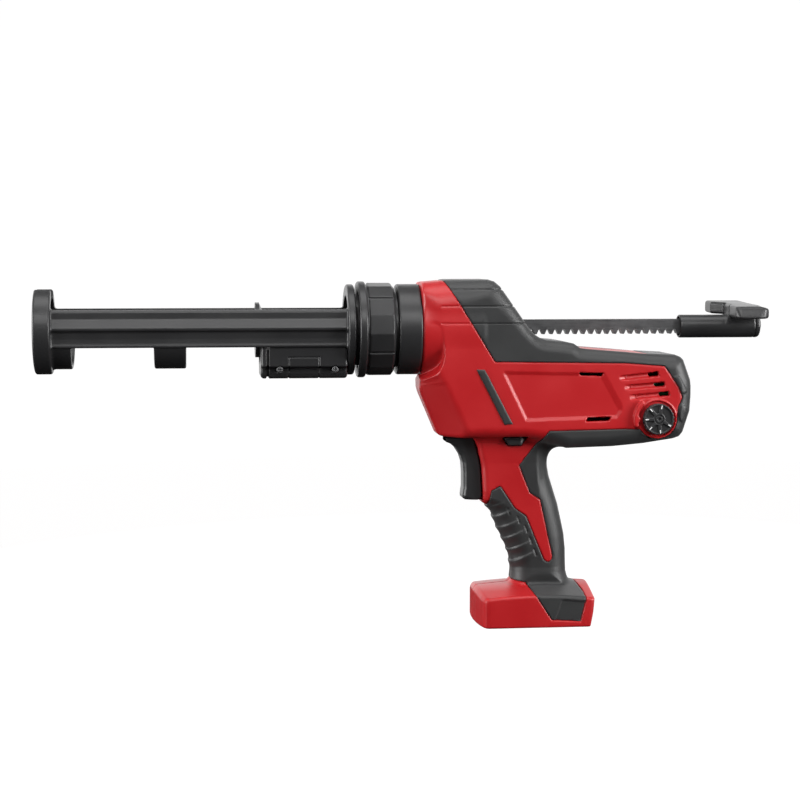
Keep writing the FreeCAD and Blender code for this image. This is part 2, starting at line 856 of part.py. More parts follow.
def rack():
    tip = axis_height - rack_pitch_drop - rack_module * addendum_share
    root = axis_height - rack_pitch_drop + rack_module * dedendum_share
    half = rack_width / 2
    bar = box((rack_front_x, rack_front_x + rack_length), (-half, half), (tip, axis_height + rack_rise))
    pitch = math.pi * rack_module
    slope = math.tan(math.radians(pressure_angle))
    half_gap = pitch / 4 + backlash / 2
    low_half = half_gap + slope * rack_module * addendum_share
    high_half = half_gap - slope * rack_module * dedendum_share
    first = math.ceil((rack_front_x + rack_toothed_setback - pinion_x) / pitch)
    count = int(rack_toothed_length / pitch)
    spaces = []
    for index in range(first, first + count):
        x = pinion_x + index * pitch
        points = [(x - low_half, tip), (x + low_half, tip), (x + high_half, root), (x - high_half, root)]
        spaces.append(solid_between(polygon(points, on_side(-half)), V(0, rack_width, 0)))
    hole = rod_y(handle_pin_radius + seat, -half, half, handle_pin_x, rack_middle_z)
    screw_end_x = rack_front_x + plunger_screw_depth + seat
    screw = rod_x(plunger_screw_radius + seat, rack_front_x, screw_end_x, 0, rack_middle_z)
    return bar.cut(spaces + [hole, screw])


handle_x = neck_x + handle_setback
handle_end_x = handle_x + handle_length
handle_pin_x = handle_end_x - handle_pin_setback


def plunger_disc():
    front = rack_front_x - plunger_thickness
    disc = rod_x(plunger_radius, front, front + plunger_rim)
    cone_x = front + plunger_rim
    apex = V(cone_x, 0, axis_height)
    cone = Part.makeCone(plunger_radius, plunger_hub_radius, rack_front_x - cone_x, apex, V(1, 0, 0))
    hole = rod_x(plunger_screw_radius + seat, front - overrun, rack_front_x + overrun, 0, rack_middle_z)
    head = rod_x(plunger_head_radius + gap, front - overrun, front + plunger_head_height, 0, rack_middle_z)
    return disc.fuse(cone).cut([hole, head])


def plunger_screw():
    front = rack_front_x - plunger_thickness
    head = rod_x(plunger_head_radius, front, front + plunger_head_height, 0, rack_middle_z)
    end_x = rack_front_x + plunger_screw_depth
    return head.fuse(rod_x(plunger_screw_radius, front, end_x, 0, rack_middle_z))


def rod_handle():
    sleeve = rod_x(handle_radius, handle_x, handle_end_x, 0, rack_middle_z)
    front = handle_x + wing_front_setback
    rear = handle_end_x - wing_rear_setback
    outline = [
        (front, -wing_half_span, 0), (front, -wing_waist_half_width, 0),
        (front + wing_waist, -wing_waist_half_width / 2, 0),
        (front + wing_waist, wing_waist_half_width / 2, 0),
        (front, wing_waist_half_width, 0), (front, wing_half_span, 0),
        (rear, wing_half_span, wing_round), (rear, -wing_half_span, wing_round),
    ]
    bottom = rack_middle_z + wing_rise
    wings = solid_between(rounded_wire(outline, on_plan(bottom)), V(0, 0, wing_height))
    post_y = (-handle_radius / 2, handle_radius / 2)
    post = box((front + wing_waist, handle_end_x), post_y, (rack_middle_z, bottom))
    bore = rod_x(handle_bore_radius, handle_x - overrun, handle_x + handle_bore_depth, 0, rack_middle_z)
    pin_y = (handle_pin_cover - handle_radius, handle_radius + overrun)
    pin = rod_y(handle_pin_radius + seat, *pin_y, handle_pin_x, rack_middle_z)
    return sleeve.fuse([wings, post]).cut([bore, pin])


def handle_pin():
    pin_y = (handle_pin_cover - handle_radius + seat, handle_radius - seat)
    return rod_y(handle_pin_radius, *pin_y, handle_pin_x, rack_middle_z)


# Gear train

def pinion_shaft():
    points = spur(rack_module, pinion_teeth, 90)
    pinion = gear_y(points, -pinion_half_width, pinion_half_width, pinion_x, pinion_z)
    shaft = rod_y(shaft_radius, -frame_left - frame_plate, frame_right + frame_plate, pinion_x, pinion_z)
    spacer = rod_y(spacer_radius, pinion_half_width, spur_near, pinion_x, pinion_z)
    return pinion.fuse([shaft, spacer])


def spur_gear():
    points = spur(spur_module, spur_teeth, -90)
    gear = gear_y(points, spur_near, spur_far, pinion_x, pinion_z)
    return gear.cut(rod_y(shaft_radius + seat, spur_near - overrun, spur_far + overrun, pinion_x, pinion_z))


def cross_shaft():
    points = spur(spur_module, spur_pinion_teeth, 90 + 180 / spur_pinion_teeth)
    pinion = gear_y(points, spur_near, spur_far, pinion_x, motor_z)
    shaft = rod_y(shaft_radius, -frame_left - frame_plate, frame_right + frame_plate, pinion_x, motor_z)
    return pinion.fuse(shaft)


def bevel_radii():
    return bevel_module * bevel_teeth / 2, bevel_module * bevel_pinion_teeth / 2


def bevel_gear():
    reach, mate = bevel_radii()
    points = bevel_points(bevel_teeth, reach, mate, math.pi / bevel_teeth)
    wires = []
    for scale in (1, 1 - bevel_width_share):
        place = on_side(-mate * scale)
        wires.append(polygon([(pinion_x + a * scale, motor_z + b * scale) for a, b in points], place))
    teeth = Part.makeLoft(wires, True, True)
    hub = rod_y(reach - bevel_dedendum - bevel_hub, -mate - bevel_hub, -mate, pinion_x, motor_z)
    bore = rod_y(shaft_radius + seat, -mate - overrun, overrun, pinion_x, motor_z)
    return teeth.fuse(hub).cut(bore)


def planet_orbit():
    return planet_module * (sun_teeth + planet_teeth) / 2


def planet_places():
    places = []
    for index in range(planet_count):
        angle = 2 * math.pi * index / planet_count
        places.append((planet_orbit() * math.cos(angle), motor_z + planet_orbit() * math.sin(angle), angle))
    return places


def planet_start():
    return ring_gear_x + carrier_clearance + carrier_thickness + carrier_clearance / 2


def planet_carrier():
    reach, mate = bevel_radii()
    points = bevel_points(bevel_pinion_teeth, mate, reach, 0)
    wires = []
    for scale in (1, 1 - bevel_width_share):
        place = on_section(pinion_x + reach * scale)
        wires.append(polygon([(a * scale, motor_z + b * scale) for a, b in points], place))
    teeth = Part.makeLoft(wires, True, True)
    disc_x = ring_gear_x + carrier_clearance
    disc_end = disc_x + carrier_thickness
    shaft = rod_x(shaft_radius, pinion_x + reach, disc_x, 0, motor_z)
    disc = rod_x(carrier_radius, disc_x, disc_end, 0, motor_z)
    pin_end = planet_start() + planet_width
    pins = [rod_x(planet_pin_radius, disc_end, pin_end, y, z) for y, z, angle in planet_places()]
    return teeth.fuse([shaft, disc] + pins)


def planet_gear(index):
    y, z, angle = planet_places()[index]
    points = spur(planet_module, planet_teeth, math.degrees(angle))
    gear = gear_x(points, planet_start(), planet_start() + planet_width, y, z)
    start = planet_start()
    return gear.cut(rod_x(planet_pin_radius + seat, start - overrun, start + planet_width + overrun, y, z))


def ring_gear():
    teeth = sun_teeth + 2 * planet_teeth
    low = planet_start() - carrier_clearance / 2
    high = planet_start() + planet_width + carrier_clearance / 2
    case = rod_x(ring_outer_radius, ring_gear_x, motor_x, 0, motor_z)
    deep = planet_module * dedendum_share
    shallow = planet_module * addendum_share
    space = gear_points(planet_module, teeth, deep, shallow, -backlash)
    bore_radius = planet_module * teeth / 2 + deep
    cuts = [gear_x(space, low - gap, high + gap, 0, motor_z)]
    cuts.append(rod_x(bore_radius, ring_gear_x - overrun, low, 0, motor_z))
    cuts.append(rod_x(bore_radius, high, motor_x + overrun, 0, motor_z))
    return case.cut(cuts)


def gear_frame():
    low_z = motor_z - frame_bottom_drop
    high_z = axis_height + frame_top_rise
    y = (-frame_left - frame_plate, frame_right + frame_plate)
    left = box((frame_front_x, frame_rear_x), (y[0], -frame_left), (low_z, high_z))
    right = box((frame_front_x, frame_rear_x), (frame_right, y[1]), (low_z, high_z))
    front = box((nose_rear_x, frame_front_x), y, (low_z, high_z))
    rear = box((frame_rear_x, ring_gear_x), y, (low_z, high_z))
    cuts = [rod_hole(nose_rear_x - overrun, frame_front_x + overrun, gap)]
    cuts.append(box((nose_rear_x, pinion_x - frame_toe), y, (low_z, motor_z + frame_toe)))
    cuts.append(rear_guide_block(seat))
    cuts += [nose_screw(y_screw, z_screw, seat) for y_screw, z_screw in nose_screw_places()]
    for z in (pinion_z, motor_z):
        cuts.append(rod_y(bearing_radius + seat, y[0] - overrun, y[1] + overrun, pinion_x, z))
    cuts.append(rod_x(bearing_radius + seat, frame_rear_x - gap, ring_gear_x + gap, 0, motor_z))
    return left.fuse([right, front, rear]).cut(cuts)


def rear_guide_block(slack):
    start = frame_rear_x - (overrun if slack else 0)
    end = frame_rear_x + rear_guide_length + (overrun if slack else 0)
    y = (-rack_width / 2 - guide_wall - slack, rack_width / 2 + guide_wall + slack)
    bottom = axis_height - rack_pitch_drop - rack_module * addendum_share - guide_wall - slack
    return box((start, end), y, (bottom, axis_height + rack_rise + guide_wall + slack))


def rod_guide_rear():
    end = frame_rear_x + rear_guide_length
    return rear_guide_block(0).cut(rod_hole(frame_rear_x - overrun, end + overrun, gap))


def shaft_bearings(z):
    left = tube_y(bearing_radius, shaft_radius + seat, -frame_left - frame_plate, -frame_left, pinion_x, z)
    right = tube_y(bearing_radius, shaft_radius + seat, frame_right, frame_right + frame_plate, pinion_x, z)
    return Part.makeCompound([left, right])


def carrier_bearing():
    return tube_x(bearing_radius, shaft_radius + seat, frame_rear_x, ring_gear_x, 0, motor_z)


# Motor

def motor_can():
    can = tube_x(motor_radius, motor_radius - motor_wall, motor_x, motor_rear_x, 0, motor_z)
    front = tube_x(motor_radius, rotor_shaft_radius + seat, motor_x, motor_x + motor_front, 0, motor_z)
    return can.fuse(front)


def motor_magnets():
    low = motor_x + motor_front + magnet_setback
    outer = motor_radius - motor_wall - seat
    pieces = []
    for turn in (-magnet_angle / 2, 180 - magnet_angle / 2):
        arc = Part.makeCylinder(outer, magnet_length, V(low, 0, motor_z), V(1, 0, 0), magnet_angle)
        arc.rotate(V(low, 0, motor_z), V(1, 0, 0), turn)
        end = low + magnet_length + overrun
        pieces.append(arc.cut(rod_x(outer - magnet_thickness, low - overrun, end, 0, motor_z)))
    return Part.makeCompound(pieces)


def motor_end_cap():
    cap = rod_x(motor_radius - motor_wall - seat, motor_rear_x - end_cap_thickness, motor_rear_x, 0, motor_z)
    return cap.cut(rod_x(rotor_shaft_radius + seat, motor_x, motor_rear_x + overrun, 0, motor_z))


def rotor_shaft():
    sun_x = planet_start() + (planet_width - sun_width) / 2
    sun = gear_x(spur(planet_module, sun_teeth), sun_x, sun_x + sun_width, 0, motor_z)
    return sun.fuse(rod_x(rotor_shaft_radius, sun_x + sun_width, motor_rear_x + rotor_tail, 0, motor_z))


def on_rotor(outer, low, length):
    return tube_x(outer, rotor_shaft_radius + seat, low, low + length, 0, motor_z)


def rotor_core():
    return on_rotor(rotor_radius, motor_x + motor_front + magnet_setback, rotor_length)


def commutator():
    return on_rotor(commutator_radius, motor_x + motor_front + magnet_setback + rotor_length, commutator_length)


def motor_brushes():
    low = motor_x + motor_front + magnet_setback + rotor_length + (commutator_length - brush_width) / 2
    pieces = []
    for side in (-1, 1):
        outer = math.sqrt((motor_radius - motor_wall) ** 2 - (brush_height / 2) ** 2) - seat
        reach = sorted((side * (commutator_radius + seat), side * outer))
        tall = (motor_z - brush_height / 2, motor_z + brush_height / 2)
        pieces.append(box((low, low + brush_width), reach, tall))
    return Part.makeCompound(pieces)


def cooling_fan():
    low = motor_rear_x + fan_setback
    hub = rod_x(fan_hub_radius, low, low + fan_length, 0, motor_z)
    plate = rod_x(fan_radius, low, low + fan_plate, 0, motor_z)
    blades = []
    for index in range(fan_blades):
        y = (-fan_blade_thickness / 2, fan_blade_thickness / 2)
        tall = (motor_z + fan_hub_radius - seat, motor_z + fan_radius)
        blade = box((low + fan_plate, low + fan_length), y, tall)
        blade.rotate(V(low, 0, motor_z), V(1, 0, 0), index * 360 / fan_blades)
        blades.append(blade)
    bore = rod_x(rotor_shaft_radius + seat, low - overrun, low + fan_length + overrun, 0, motor_z)
    return hub.fuse([plate] + blades).cut(bore)


# Trigger, switch and lock-off button

def trigger():
    corners = []
    for along, up, rounding in trigger_outline_shares:
        x = trigger_x + along * trigger_length
        corners.append((x, trigger_top_z + up * trigger_height, rounding * trigger_height))
    outline = rounded_wire(corners, on_side(-trigger_half_width))
    blade = solid_between(outline, V(0, 2 * trigger_half_width, 0))
    rear = trigger_x + trigger_length
    z = trigger_top_z - stem_drop
    return blade.fuse(rod_x(stem_radius, rear - stem_length, rear + stem_length, 0, z))


def trigger_switch():
    y = (-switch_half_width, switch_half_width)
    body = box((switch_x, switch_x + switch_length), y, (switch_top_z - switch_height, switch_top_z))
    z = trigger_top_z - stem_drop
    end = trigger_x + trigger_length + stem_length + trigger_travel + gap
    return body.cut(rod_x(stem_radius + gap, switch_x - overrun, end, 0, z))


def lock_button(slack, reach):
    x = neck_x + button_setback - slack
    length = button_length + 2 * slack
    top = axis_height + chin_share * body_height - button_drop + slack
    bottom = top - button_height - 2 * slack
    taper = button_taper_share * button_length
    outline = [(x, top), (x + length, top), (x + length - taper, bottom), (x + taper, bottom)]
    return solid_between(polygon(outline, on_side(-reach)), V(0, 2 * reach, 0))


# Speed dial, potentiometer and control board

def speed_dial():
    face = -dial_boss_face - gap
    knob = rod_y(dial_radius, face - dial_thickness, face, dial_x, dial_z)
    grips = []
    for index in range(dial_grips):
        angle = 2 * math.pi * index / dial_grips
        x = dial_x + (dial_radius + dial_grip_radius / 2) * math.cos(angle)
        z = dial_z + (dial_radius + dial_grip_radius / 2) * math.sin(angle)
        grips.append(rod_y(dial_grip_radius, face - dial_thickness - overrun, face - wall / 2, x, z))
    shaft = rod_y(dial_shaft_radius, face, face + dial_shaft_reach, dial_x, dial_z)
    return knob.cut(grips).fuse(shaft)


def pot_face():
    return -board_face - pot_length


def dial_potentiometer():
    x = (dial_x - pot_half_width, dial_x + pot_half_width)
    case = box(x, (pot_face(), -board_face), (dial_z - pot_half_width, dial_z + pot_half_width))
    end = -dial_boss_face - gap + dial_shaft_reach
    return case.cut(rod_y(dial_shaft_radius + seat, pot_face() - overrun, end + gap, dial_x, dial_z))


def control_board():
    x = (dial_x - board_front_reach, dial_x + board_rear_reach)
    return box(x, (-board_face, -board_face + board_thickness), (dial_z - board_down, dial_z + board_up))


# Battery terminals and leads

def terminal_block():
    y = (-terminal_half_width, terminal_half_width)
    return box((-terminal_front, terminal_rear), y, (bay_depth - terminal_drop, bay_depth))


def terminal_blades():
    z = bay_depth - terminal_drop / 2
    pieces = []
    for index in range(blade_count):
        y = (index - (blade_count - 1) / 2) * blade_pitch
        across = (y - blade_thickness / 2, y + blade_thickness / 2)
        tall = (z - blade_height / 2, z + blade_height / 2)
        pieces.append(box((terminal_rear, terminal_rear + blade_length), across, tall))
    return Part.makeCompound(pieces)


def battery_leads():
    top = switch_top_z - switch_height
    places = (-lead_half_spacing, lead_half_spacing)
    return Part.makeCompound([rod_z(lead_radius, bay_depth, top, 0, y) for y in places])


nodes = housing_and_overmould()
nodes["side_pad_left"] = side_pad(-1)
nodes["side_pad_right"] = side_pad(1)
nodes["housing_screws"] = Part.makeCompound([housing_screw(*place) for place in screw_places()])
nodes["nose_ring"] = nose_ring()
nodes["nose_screws"] = Part.makeCompound([nose_screw(y, z) for y, z in nose_screw_places()])
nodes["locking_collar"] = locking_collar()
nodes["carriage"] = carriage()
nodes["puncture_housing"] = puncture_housing()
nodes["puncture_pin"] = puncture_pin()
nodes["puncture_screws"] = Part.makeCompound([puncture_screw(x, z) for x, z in puncture_screw_places()])
nodes["rod_guide_front"] = rod_guide_front()
nodes["rod_guide_rear"] = rod_guide_rear()
nodes["rack"] = rack()
nodes["plunger_disc"] = plunger_disc()
nodes["plunger_screw"] = plunger_screw()
nodes["rod_handle"] = rod_handle()
nodes["handle_pin"] = handle_pin()
nodes["gear_frame"] = gear_frame()
nodes["pinion_shaft"] = pinion_shaft()
nodes["pinion_bearings"] = shaft_bearings(pinion_z)
nodes["spur_gear"] = spur_gear()
nodes["cross_shaft"] = cross_shaft()
nodes["cross_bearings"] = shaft_bearings(motor_z)
nodes["bevel_gear"] = bevel_gear()
nodes["planet_carrier"] = planet_carrier()
nodes["carrier_bearing"] = carrier_bearing()
for number in range(planet_count):
    nodes["planet_gear_" + str(number + 1)] = planet_gear(number)
nodes["ring_gear"] = ring_gear()
nodes["motor_can"] = motor_can()
nodes["motor_magnets"] = motor_magnets()
nodes["motor_end_cap"] = motor_end_cap()
nodes["rotor_shaft"] = rotor_shaft()
nodes["rotor_core"] = rotor_core()
nodes["commutator"] = commutator()
nodes["motor_brushes"] = motor_brushes()
nodes["cooling_fan"] = cooling_fan()
nodes["trigger"] = trigger()
nodes["trigger_switch"] = trigger_switch()
nodes["lock_button"] = lock_button(0, button_half_length)
nodes["speed_dial"] = speed_dial()
nodes["dial_potentiometer"] = dial_potentiometer()
nodes["control_board"] = control_board()
nodes["terminal_block"] = terminal_block()
nodes["terminal_blades"] = terminal_blades()
nodes["battery_leads"] = battery_leads()

os.makedirs("parts", exist_ok=True)
for name, shape in nodes.items():
    shape.exportStep("parts/" + name + ".step")
    print(name, len(shape.Solids), shape.isValid(), round(shape.Volume), shape.BoundBox)
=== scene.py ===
import functools
import json
import math

import bpy
import numpy as np
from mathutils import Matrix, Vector


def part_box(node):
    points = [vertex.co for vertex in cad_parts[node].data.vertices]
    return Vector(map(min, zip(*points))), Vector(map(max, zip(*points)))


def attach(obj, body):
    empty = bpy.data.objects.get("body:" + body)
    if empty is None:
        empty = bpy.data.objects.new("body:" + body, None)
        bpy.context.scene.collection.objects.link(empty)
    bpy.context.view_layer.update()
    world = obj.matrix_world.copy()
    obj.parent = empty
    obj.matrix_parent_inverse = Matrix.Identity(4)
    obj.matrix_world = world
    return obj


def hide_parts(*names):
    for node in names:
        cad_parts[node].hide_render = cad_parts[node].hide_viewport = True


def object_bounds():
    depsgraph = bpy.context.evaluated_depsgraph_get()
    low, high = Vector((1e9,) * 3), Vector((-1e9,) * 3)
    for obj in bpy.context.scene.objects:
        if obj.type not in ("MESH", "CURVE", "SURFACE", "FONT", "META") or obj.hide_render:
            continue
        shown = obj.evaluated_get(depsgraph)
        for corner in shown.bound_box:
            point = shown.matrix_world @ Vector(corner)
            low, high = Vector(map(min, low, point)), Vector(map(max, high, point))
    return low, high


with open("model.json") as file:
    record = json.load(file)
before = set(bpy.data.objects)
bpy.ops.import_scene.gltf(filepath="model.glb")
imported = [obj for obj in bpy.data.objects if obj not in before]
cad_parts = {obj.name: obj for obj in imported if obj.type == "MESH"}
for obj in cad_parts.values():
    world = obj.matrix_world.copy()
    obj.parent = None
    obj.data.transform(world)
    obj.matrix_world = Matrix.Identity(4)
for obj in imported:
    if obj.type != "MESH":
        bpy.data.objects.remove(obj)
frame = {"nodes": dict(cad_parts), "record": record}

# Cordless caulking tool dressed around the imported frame. Tables and sizes are millimetres in the frame's
# axes: X runs to the rear, -Y is the side with the dial, Z is up. Meshes are written in metres. Names in
# _EDGE and _SOFT are radii of edges and fillets, and a share is the part of the faces that a mesh keeps.

CAD_LOW, CAD_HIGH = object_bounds()
MM = 0.001
FULL_TURN = 360


def span(node):
    """Lowest and highest corner of a CAD node in millimetres."""
    low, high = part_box(node)
    return np.array(low) / MM, np.array(high) / MM


COLLAR_LOW, COLLAR_HIGH = span("locking_collar")
CASE_LOW, CASE_HIGH = span("puncture_housing")
BUTTON_LOW, BUTTON_HIGH = span("lock_button")
DIAL_LOW, DIAL_HIGH = span("speed_dial")
RACK_LOW, RACK_HIGH = span("rack")

AXIS_Z = (COLLAR_LOW[2] + COLLAR_HIGH[2]) / 2
NECK_X = span("housing_left")[0][0]
BODY_HALF = 34.0
WALL = 2.8
SKIN = 1.5
PROUD = 0.3
SEAM = 0.25
BODY_STEP = 0.66
FINE_STEP = 0.45
SMALL_STEP = 0.3
GRID_MARGIN = 2.5
NORMAL_WEIGHT = 60
PRINT = "dial_print"
SCALE_PRINT = "scale_print"

# Outlines on the side of the tool: along X, up Z

BODY_OUTLINE = [
    (-124.0, 261.0), (-88.5, 264.2), (-66.6, 266.2), (-37.4, 266.2), (-32.8, 264.8), (-28.3, 261.0),
    (-7.0, 230.1), (-1.4, 224.0), (2.8, 221.4), (7.6, 219.8), (20.9, 218.6), (28.6, 217.2), (33.6, 213.8),
    (40.0, 213.0), (85.0, 209.4), (108.5, 208.2), (113.0, 206.4), (115.0, 204.4), (120.6, 189.0),
    (121.2, 184.0), (121.2, 177.0), (120.4, 165.0), (115.0, 148.5), (112.2, 145.2), (107.5, 143.6),
    (84.0, 140.4), (58.9, 138.4), (23.2, 137.4), (8.0, 143.0), (-10.0, 145.4), (-69.0, 145.6), (-72.5, 146.3),
    (-74.8, 148.2), (-79.6, 159.6), (-89.6, 183.2), (-89.6, 191.0), (-124.0, 191.0),
]
GRIP_OUTLINE = [
    (-48.6, 156.0), (-46.0, 143.6), (-43.2, 136.4), (-40.2, 121.9), (-39.0, 101.0), (-39.8, 96.6),
    (-39.2, 93.9), (-36.2, 91.9), (-33.3, 89.5), (-30.6, 85.6), (-26.6, 75.2), (-20.1, 61.6), (-16.6, 53.3),
    (-14.9, 43.1),
    (-15.0, 38.4), (-16.0, 24.0), (31.0, 24.0), (29.4, 33.0), (27.9, 38.6), (27.6, 46.0), (27.4, 56.0),
    (26.2, 68.0), (23.6, 80.0), (21.0, 91.4), (17.0, 104.0), (14.0, 113.7), (12.7, 121.0), (12.4, 128.0),
    (13.0, 140.0), (20.0, 156.0),
]
# Height and half width
GRIP_HALF_WIDTHS = [
    (24.0, 18.6), (34.0, 17.6), (43.0, 16.4), (60.0, 16.4), (90.0, 16.9), (125.0, 18.0), (140.0, 19.6),
    (156.0, 20.0),
]
# Foot seen from above: along X, across Y
FOOT_SIDE = [
    (-45.0, 0.0), (-44.5, 14.0), (-43.1, 27.0), (-41.6, 34.4), (-40.0, 37.6), (-37.0, 38.6), (41.0, 38.6),
    (43.6, 38.0), (44.8, 35.0), (45.1, 24.0), (45.2, 0.0),
]
FOOT_OUTLINE = FOOT_SIDE + [(x, -y) for x, y in FOOT_SIDE[-2:0:-1]]
FOOT_HALF = 38.6
FOOT_EAVES_Z = 24.8
FOOT_EAVES_BOW = 0.0014
FOOT_ROOF_SLOPE = 0.235
FOOT_RIDGE_Z = 30.4

# Red area on the side; the soft overmould takes the rest above the foot
RED_AREA = [
    (-130.0, 290.0), (-71.6, 290.0), (-71.6, 266.2), (-33.4, 204.0), (67.0, 202.4), (98.1, 200.0),
    (109.9, 183.0), (112.3, 175.7), (109.0, 168.6), (108.1, 159.6), (106.9, 153.8), (103.6, 148.9),
    (98.7, 145.6), (92.9, 144.4), (87.1, 145.6), (82.2, 148.9), (79.6, 151.9), (67.5, 152.2), (8.6, 151.2),
    (3.1, 143.0), (-11.8, 123.3), (-3.0, 101.4), (5.0, 96.3), (15.0, 52.0), (14.4, 49.2), (12.4, 47.6),
    (10.2, 47.8), (8.4, 49.6), (-3.6, 79.0), (-5.7, 83.8), (-14.6, 90.0), (-25.4, 106.6),
    (-27.0, 107.2), (-33.2, 103.8), (-35.4, 91.6), (-60.0, 88.0), (-130.0, 88.0),
]
FOOT_DARK = [
    (-24.0, 40.0), (-24.0, 33.2), (-15.6, 32.8), (-6.2, 31.8), (-1.6, 24.8), (10.7, 5.8), (33.4, 4.3),
    (37.4, 20.4), (37.6, 25.6), (35.0, 31.0), (34.4, 40.0),
]
DARK_FLOOR_Z = 38.8
STRIP_X, STRIP_HALF, STRIP_LOW_Z = (34.5, 87.0), 25.0, 204.0

BADGE = [
    (-26.6, 197.2), (51.7, 195.3), (65.4, 170.7), (65.6, 166.0), (61.7, 160.2), (-9.7, 158.3), (-27.3, 194.5),
]
BADGE_DEPTH = 1.3
BADGE_BEVEL = 2.7
BADGE_SLITS = [
    [(31.7, 195.4), (50.4, 195.0), (49.2, 192.9), (32.9, 193.3)],
    [(38.6, 160.9), (56.6, 161.4), (55.0, 158.6), (37.4, 158.2)],
]
VENTS = [((68.3, 191.4), (92.9, 194.2)), ((72.4, 184.1), (97.8, 186.2)), ((76.5, 176.6), (101.4, 178.9))]
VENT_HALF = 1.7
HUMP_GROOVES = (258.8, 246.2, 233.4)
RED_GROOVE_FRONT_X = -75.0
GROOVE_HALF = 0.55
SIDE_BAR = [(-48.1, 198.8), (-41.1, 198.7), (-19.1, 156.5), (-26.1, 155.8)]
REAR_PADS = [
    [(105.4, 191.9), (109.5, 192.4), (116.2, 180.1), (111.9, 178.6)],
    [(111.6, 170.4), (116.6, 168.6), (113.4, 156.8), (110.4, 158.6), (109.8, 164.4)],
]
FOOT_RECESS = [(18.6, 21.5), (37.9, 19.6), (35.0, 4.8), (12.9, 5.6)]
RIB_LINES = [
    ((-34.2, 90.6), (-22.0, 95.2)), ((-30.4, 82.4), (-15.6, 89.4)), ((-27.2, 73.6), (-9.4, 82.0)),
    ((-23.4, 64.8), (-4.6, 74.4)), ((-20.2, 55.8), (-0.8, 65.2)), ((-17.8, 46.6), (2.4, 57.0)),
]
RIB_TICKS = [(-19.6, 87.4), (-11.8, 80.8), (-5.8, 73.4), (-2.2, 64.4), (1.4, 55.2)]
# Along X, up Z and the seat's distance from the middle
SCREW_PLACES = [
    (-65.45, 153.82, 14.0), (-39.27, 255.74, 14.0), (1.59, 149.05, 14.0), (105.29, 197.04, 14.0),
    (6.0, 60.0, 8.0),
]
SCREW_WELL = 3.5
CASE_SCREWS = [(-196.0, 198.7), (-154.2, 198.7)]


# Distances: negative inside a shape

class Grid:
    """Sample points of a box, with x, y and z shaped to broadcast."""

    def __init__(self, low, high, step):
        margin = GRID_MARGIN * step
        self.step = step
        self.low = np.array(low, float) - margin
        counts = np.ceil((np.array(high, float) + margin - self.low) / step).astype(int) + 1
        axes = [(self.low[i] + step * np.arange(counts[i])).astype(np.float32) for i in range(3)]
        self.x = axes[0][:, None, None]
        self.y = axes[1][None, :, None]
        self.z = axes[2][None, None, :]


def polygon(points, u, v):
    """Signed distance to a closed outline in two of the coordinates."""
    shape = np.broadcast_shapes(u.shape, v.shape)
    nearest = np.full(shape, np.inf, np.float32)
    inside = np.zeros(shape, bool)
    for (au, av), (bu, bv) in zip(points, points[1:] + points[:1]):
        eu, ev = bu - au, bv - av
        wu, wv = u - au, v - av
        along = np.clip((wu * eu + wv * ev) / (eu * eu + ev * ev), 0, 1)
        nearest = np.minimum(nearest, (wu - eu * along) ** 2 + (wv - ev * along) ** 2)
        if ev:
            inside ^= ((av <= v) != (bv <= v)) & (wu < eu * wv / ev)
    distance = np.sqrt(nearest)
    return np.where(inside, -distance, distance).astype(np.float32)


def segment(a, b, u, v):
    """Distance to a line between two points."""
    eu, ev = b[0] - a[0], b[1] - a[1]
    wu, wv = u - a[0], v - a[1]
    along = np.clip((wu * eu + wv * ev) / (eu * eu + ev * ev), 0, 1)
    return np.sqrt((wu - eu * along) ** 2 + (wv - ev * along) ** 2)


def ramp(value, start, end, low=0.0, high=1.0):
    """Smooth change from low to high between two places."""
    share = np.clip((value - start) / (end - start), 0, 1)
    return low + (high - low) * share * share * (3 - 2 * share)


def common(*limits):
    return functools.reduce(np.maximum, limits)


def union(*forms):
    return functools.reduce(np.minimum, forms)


def cut(form, *removed):
    """Form less what is removed from it."""
    return common(form, *(-part for part in removed))


def join(a, b, soft):
    """Union with a fillet."""
    share = np.clip(0.5 + 0.5 * (b - a) / soft, 0, 1)
    return b + (a - b) * share - soft * share * (1 - share)


def meet(a, b, soft):
    """Intersection with a softened edge."""
    return -join(-a, -b, soft)


def rounded(a, b, radius):
    """Intersection of two limits whose common edge has a radius."""
    qa, qb = a + radius, b + radius
    outside = np.sqrt(np.maximum(qa, 0) ** 2 + np.maximum(qb, 0) ** 2)
    return np.minimum(np.maximum(qa, qb), 0) + outside - radius


def between(value, low, high):
    """Distance to a range of one coordinate."""
    return np.abs(value - (low + high) / 2) - (high - low) / 2


def block(g, x, y, z):
    """Distance to a box between pairs of limits."""
    limits = [between(g.x, *x), between(g.y, *y), between(g.z, *z)]
    outside = np.sqrt(sum(np.maximum(limit, 0) ** 2 for limit in limits))
    return np.minimum(common(*limits), 0) + outside


def round_x(g, z=AXIS_Z):
    """Distance from a line along X."""
    return np.sqrt(g.y ** 2 + (g.z - z) ** 2)


def round_y(g, x, z):
    """Distance from a line along Y."""
    return np.sqrt((g.x - x) ** 2 + (g.z - z) ** 2)


def in_turn(angle, pitch, shift=2 * FULL_TURN):
    """Angle from the middle of the pitch that it falls in."""
    return (angle + shift) % pitch - pitch / 2


def plane(g, place, normal):
    """Distance in front of a plane seen on edge from the side."""
    return (g.x - place[0]) * normal[0] + (g.z - place[1]) * normal[1]


def inset(distance, depth, soft=1.0):
    """Depth inside an outline whose walls are soft."""
    return depth * np.clip(0.5 - distance / soft, 0, 1)


def line_depth(distance, half, depth, soft):
    """Depth of a groove of a half width along a line."""
    return depth * np.clip(-(np.abs(distance) - half) / soft, 0, 1)


def ring_angle(g):
    """Angle about the tool's axis, in degrees, from the dial side upward."""
    return np.degrees(np.arctan2(g.z - AXIS_Z, -g.y))


# Meshes from distances

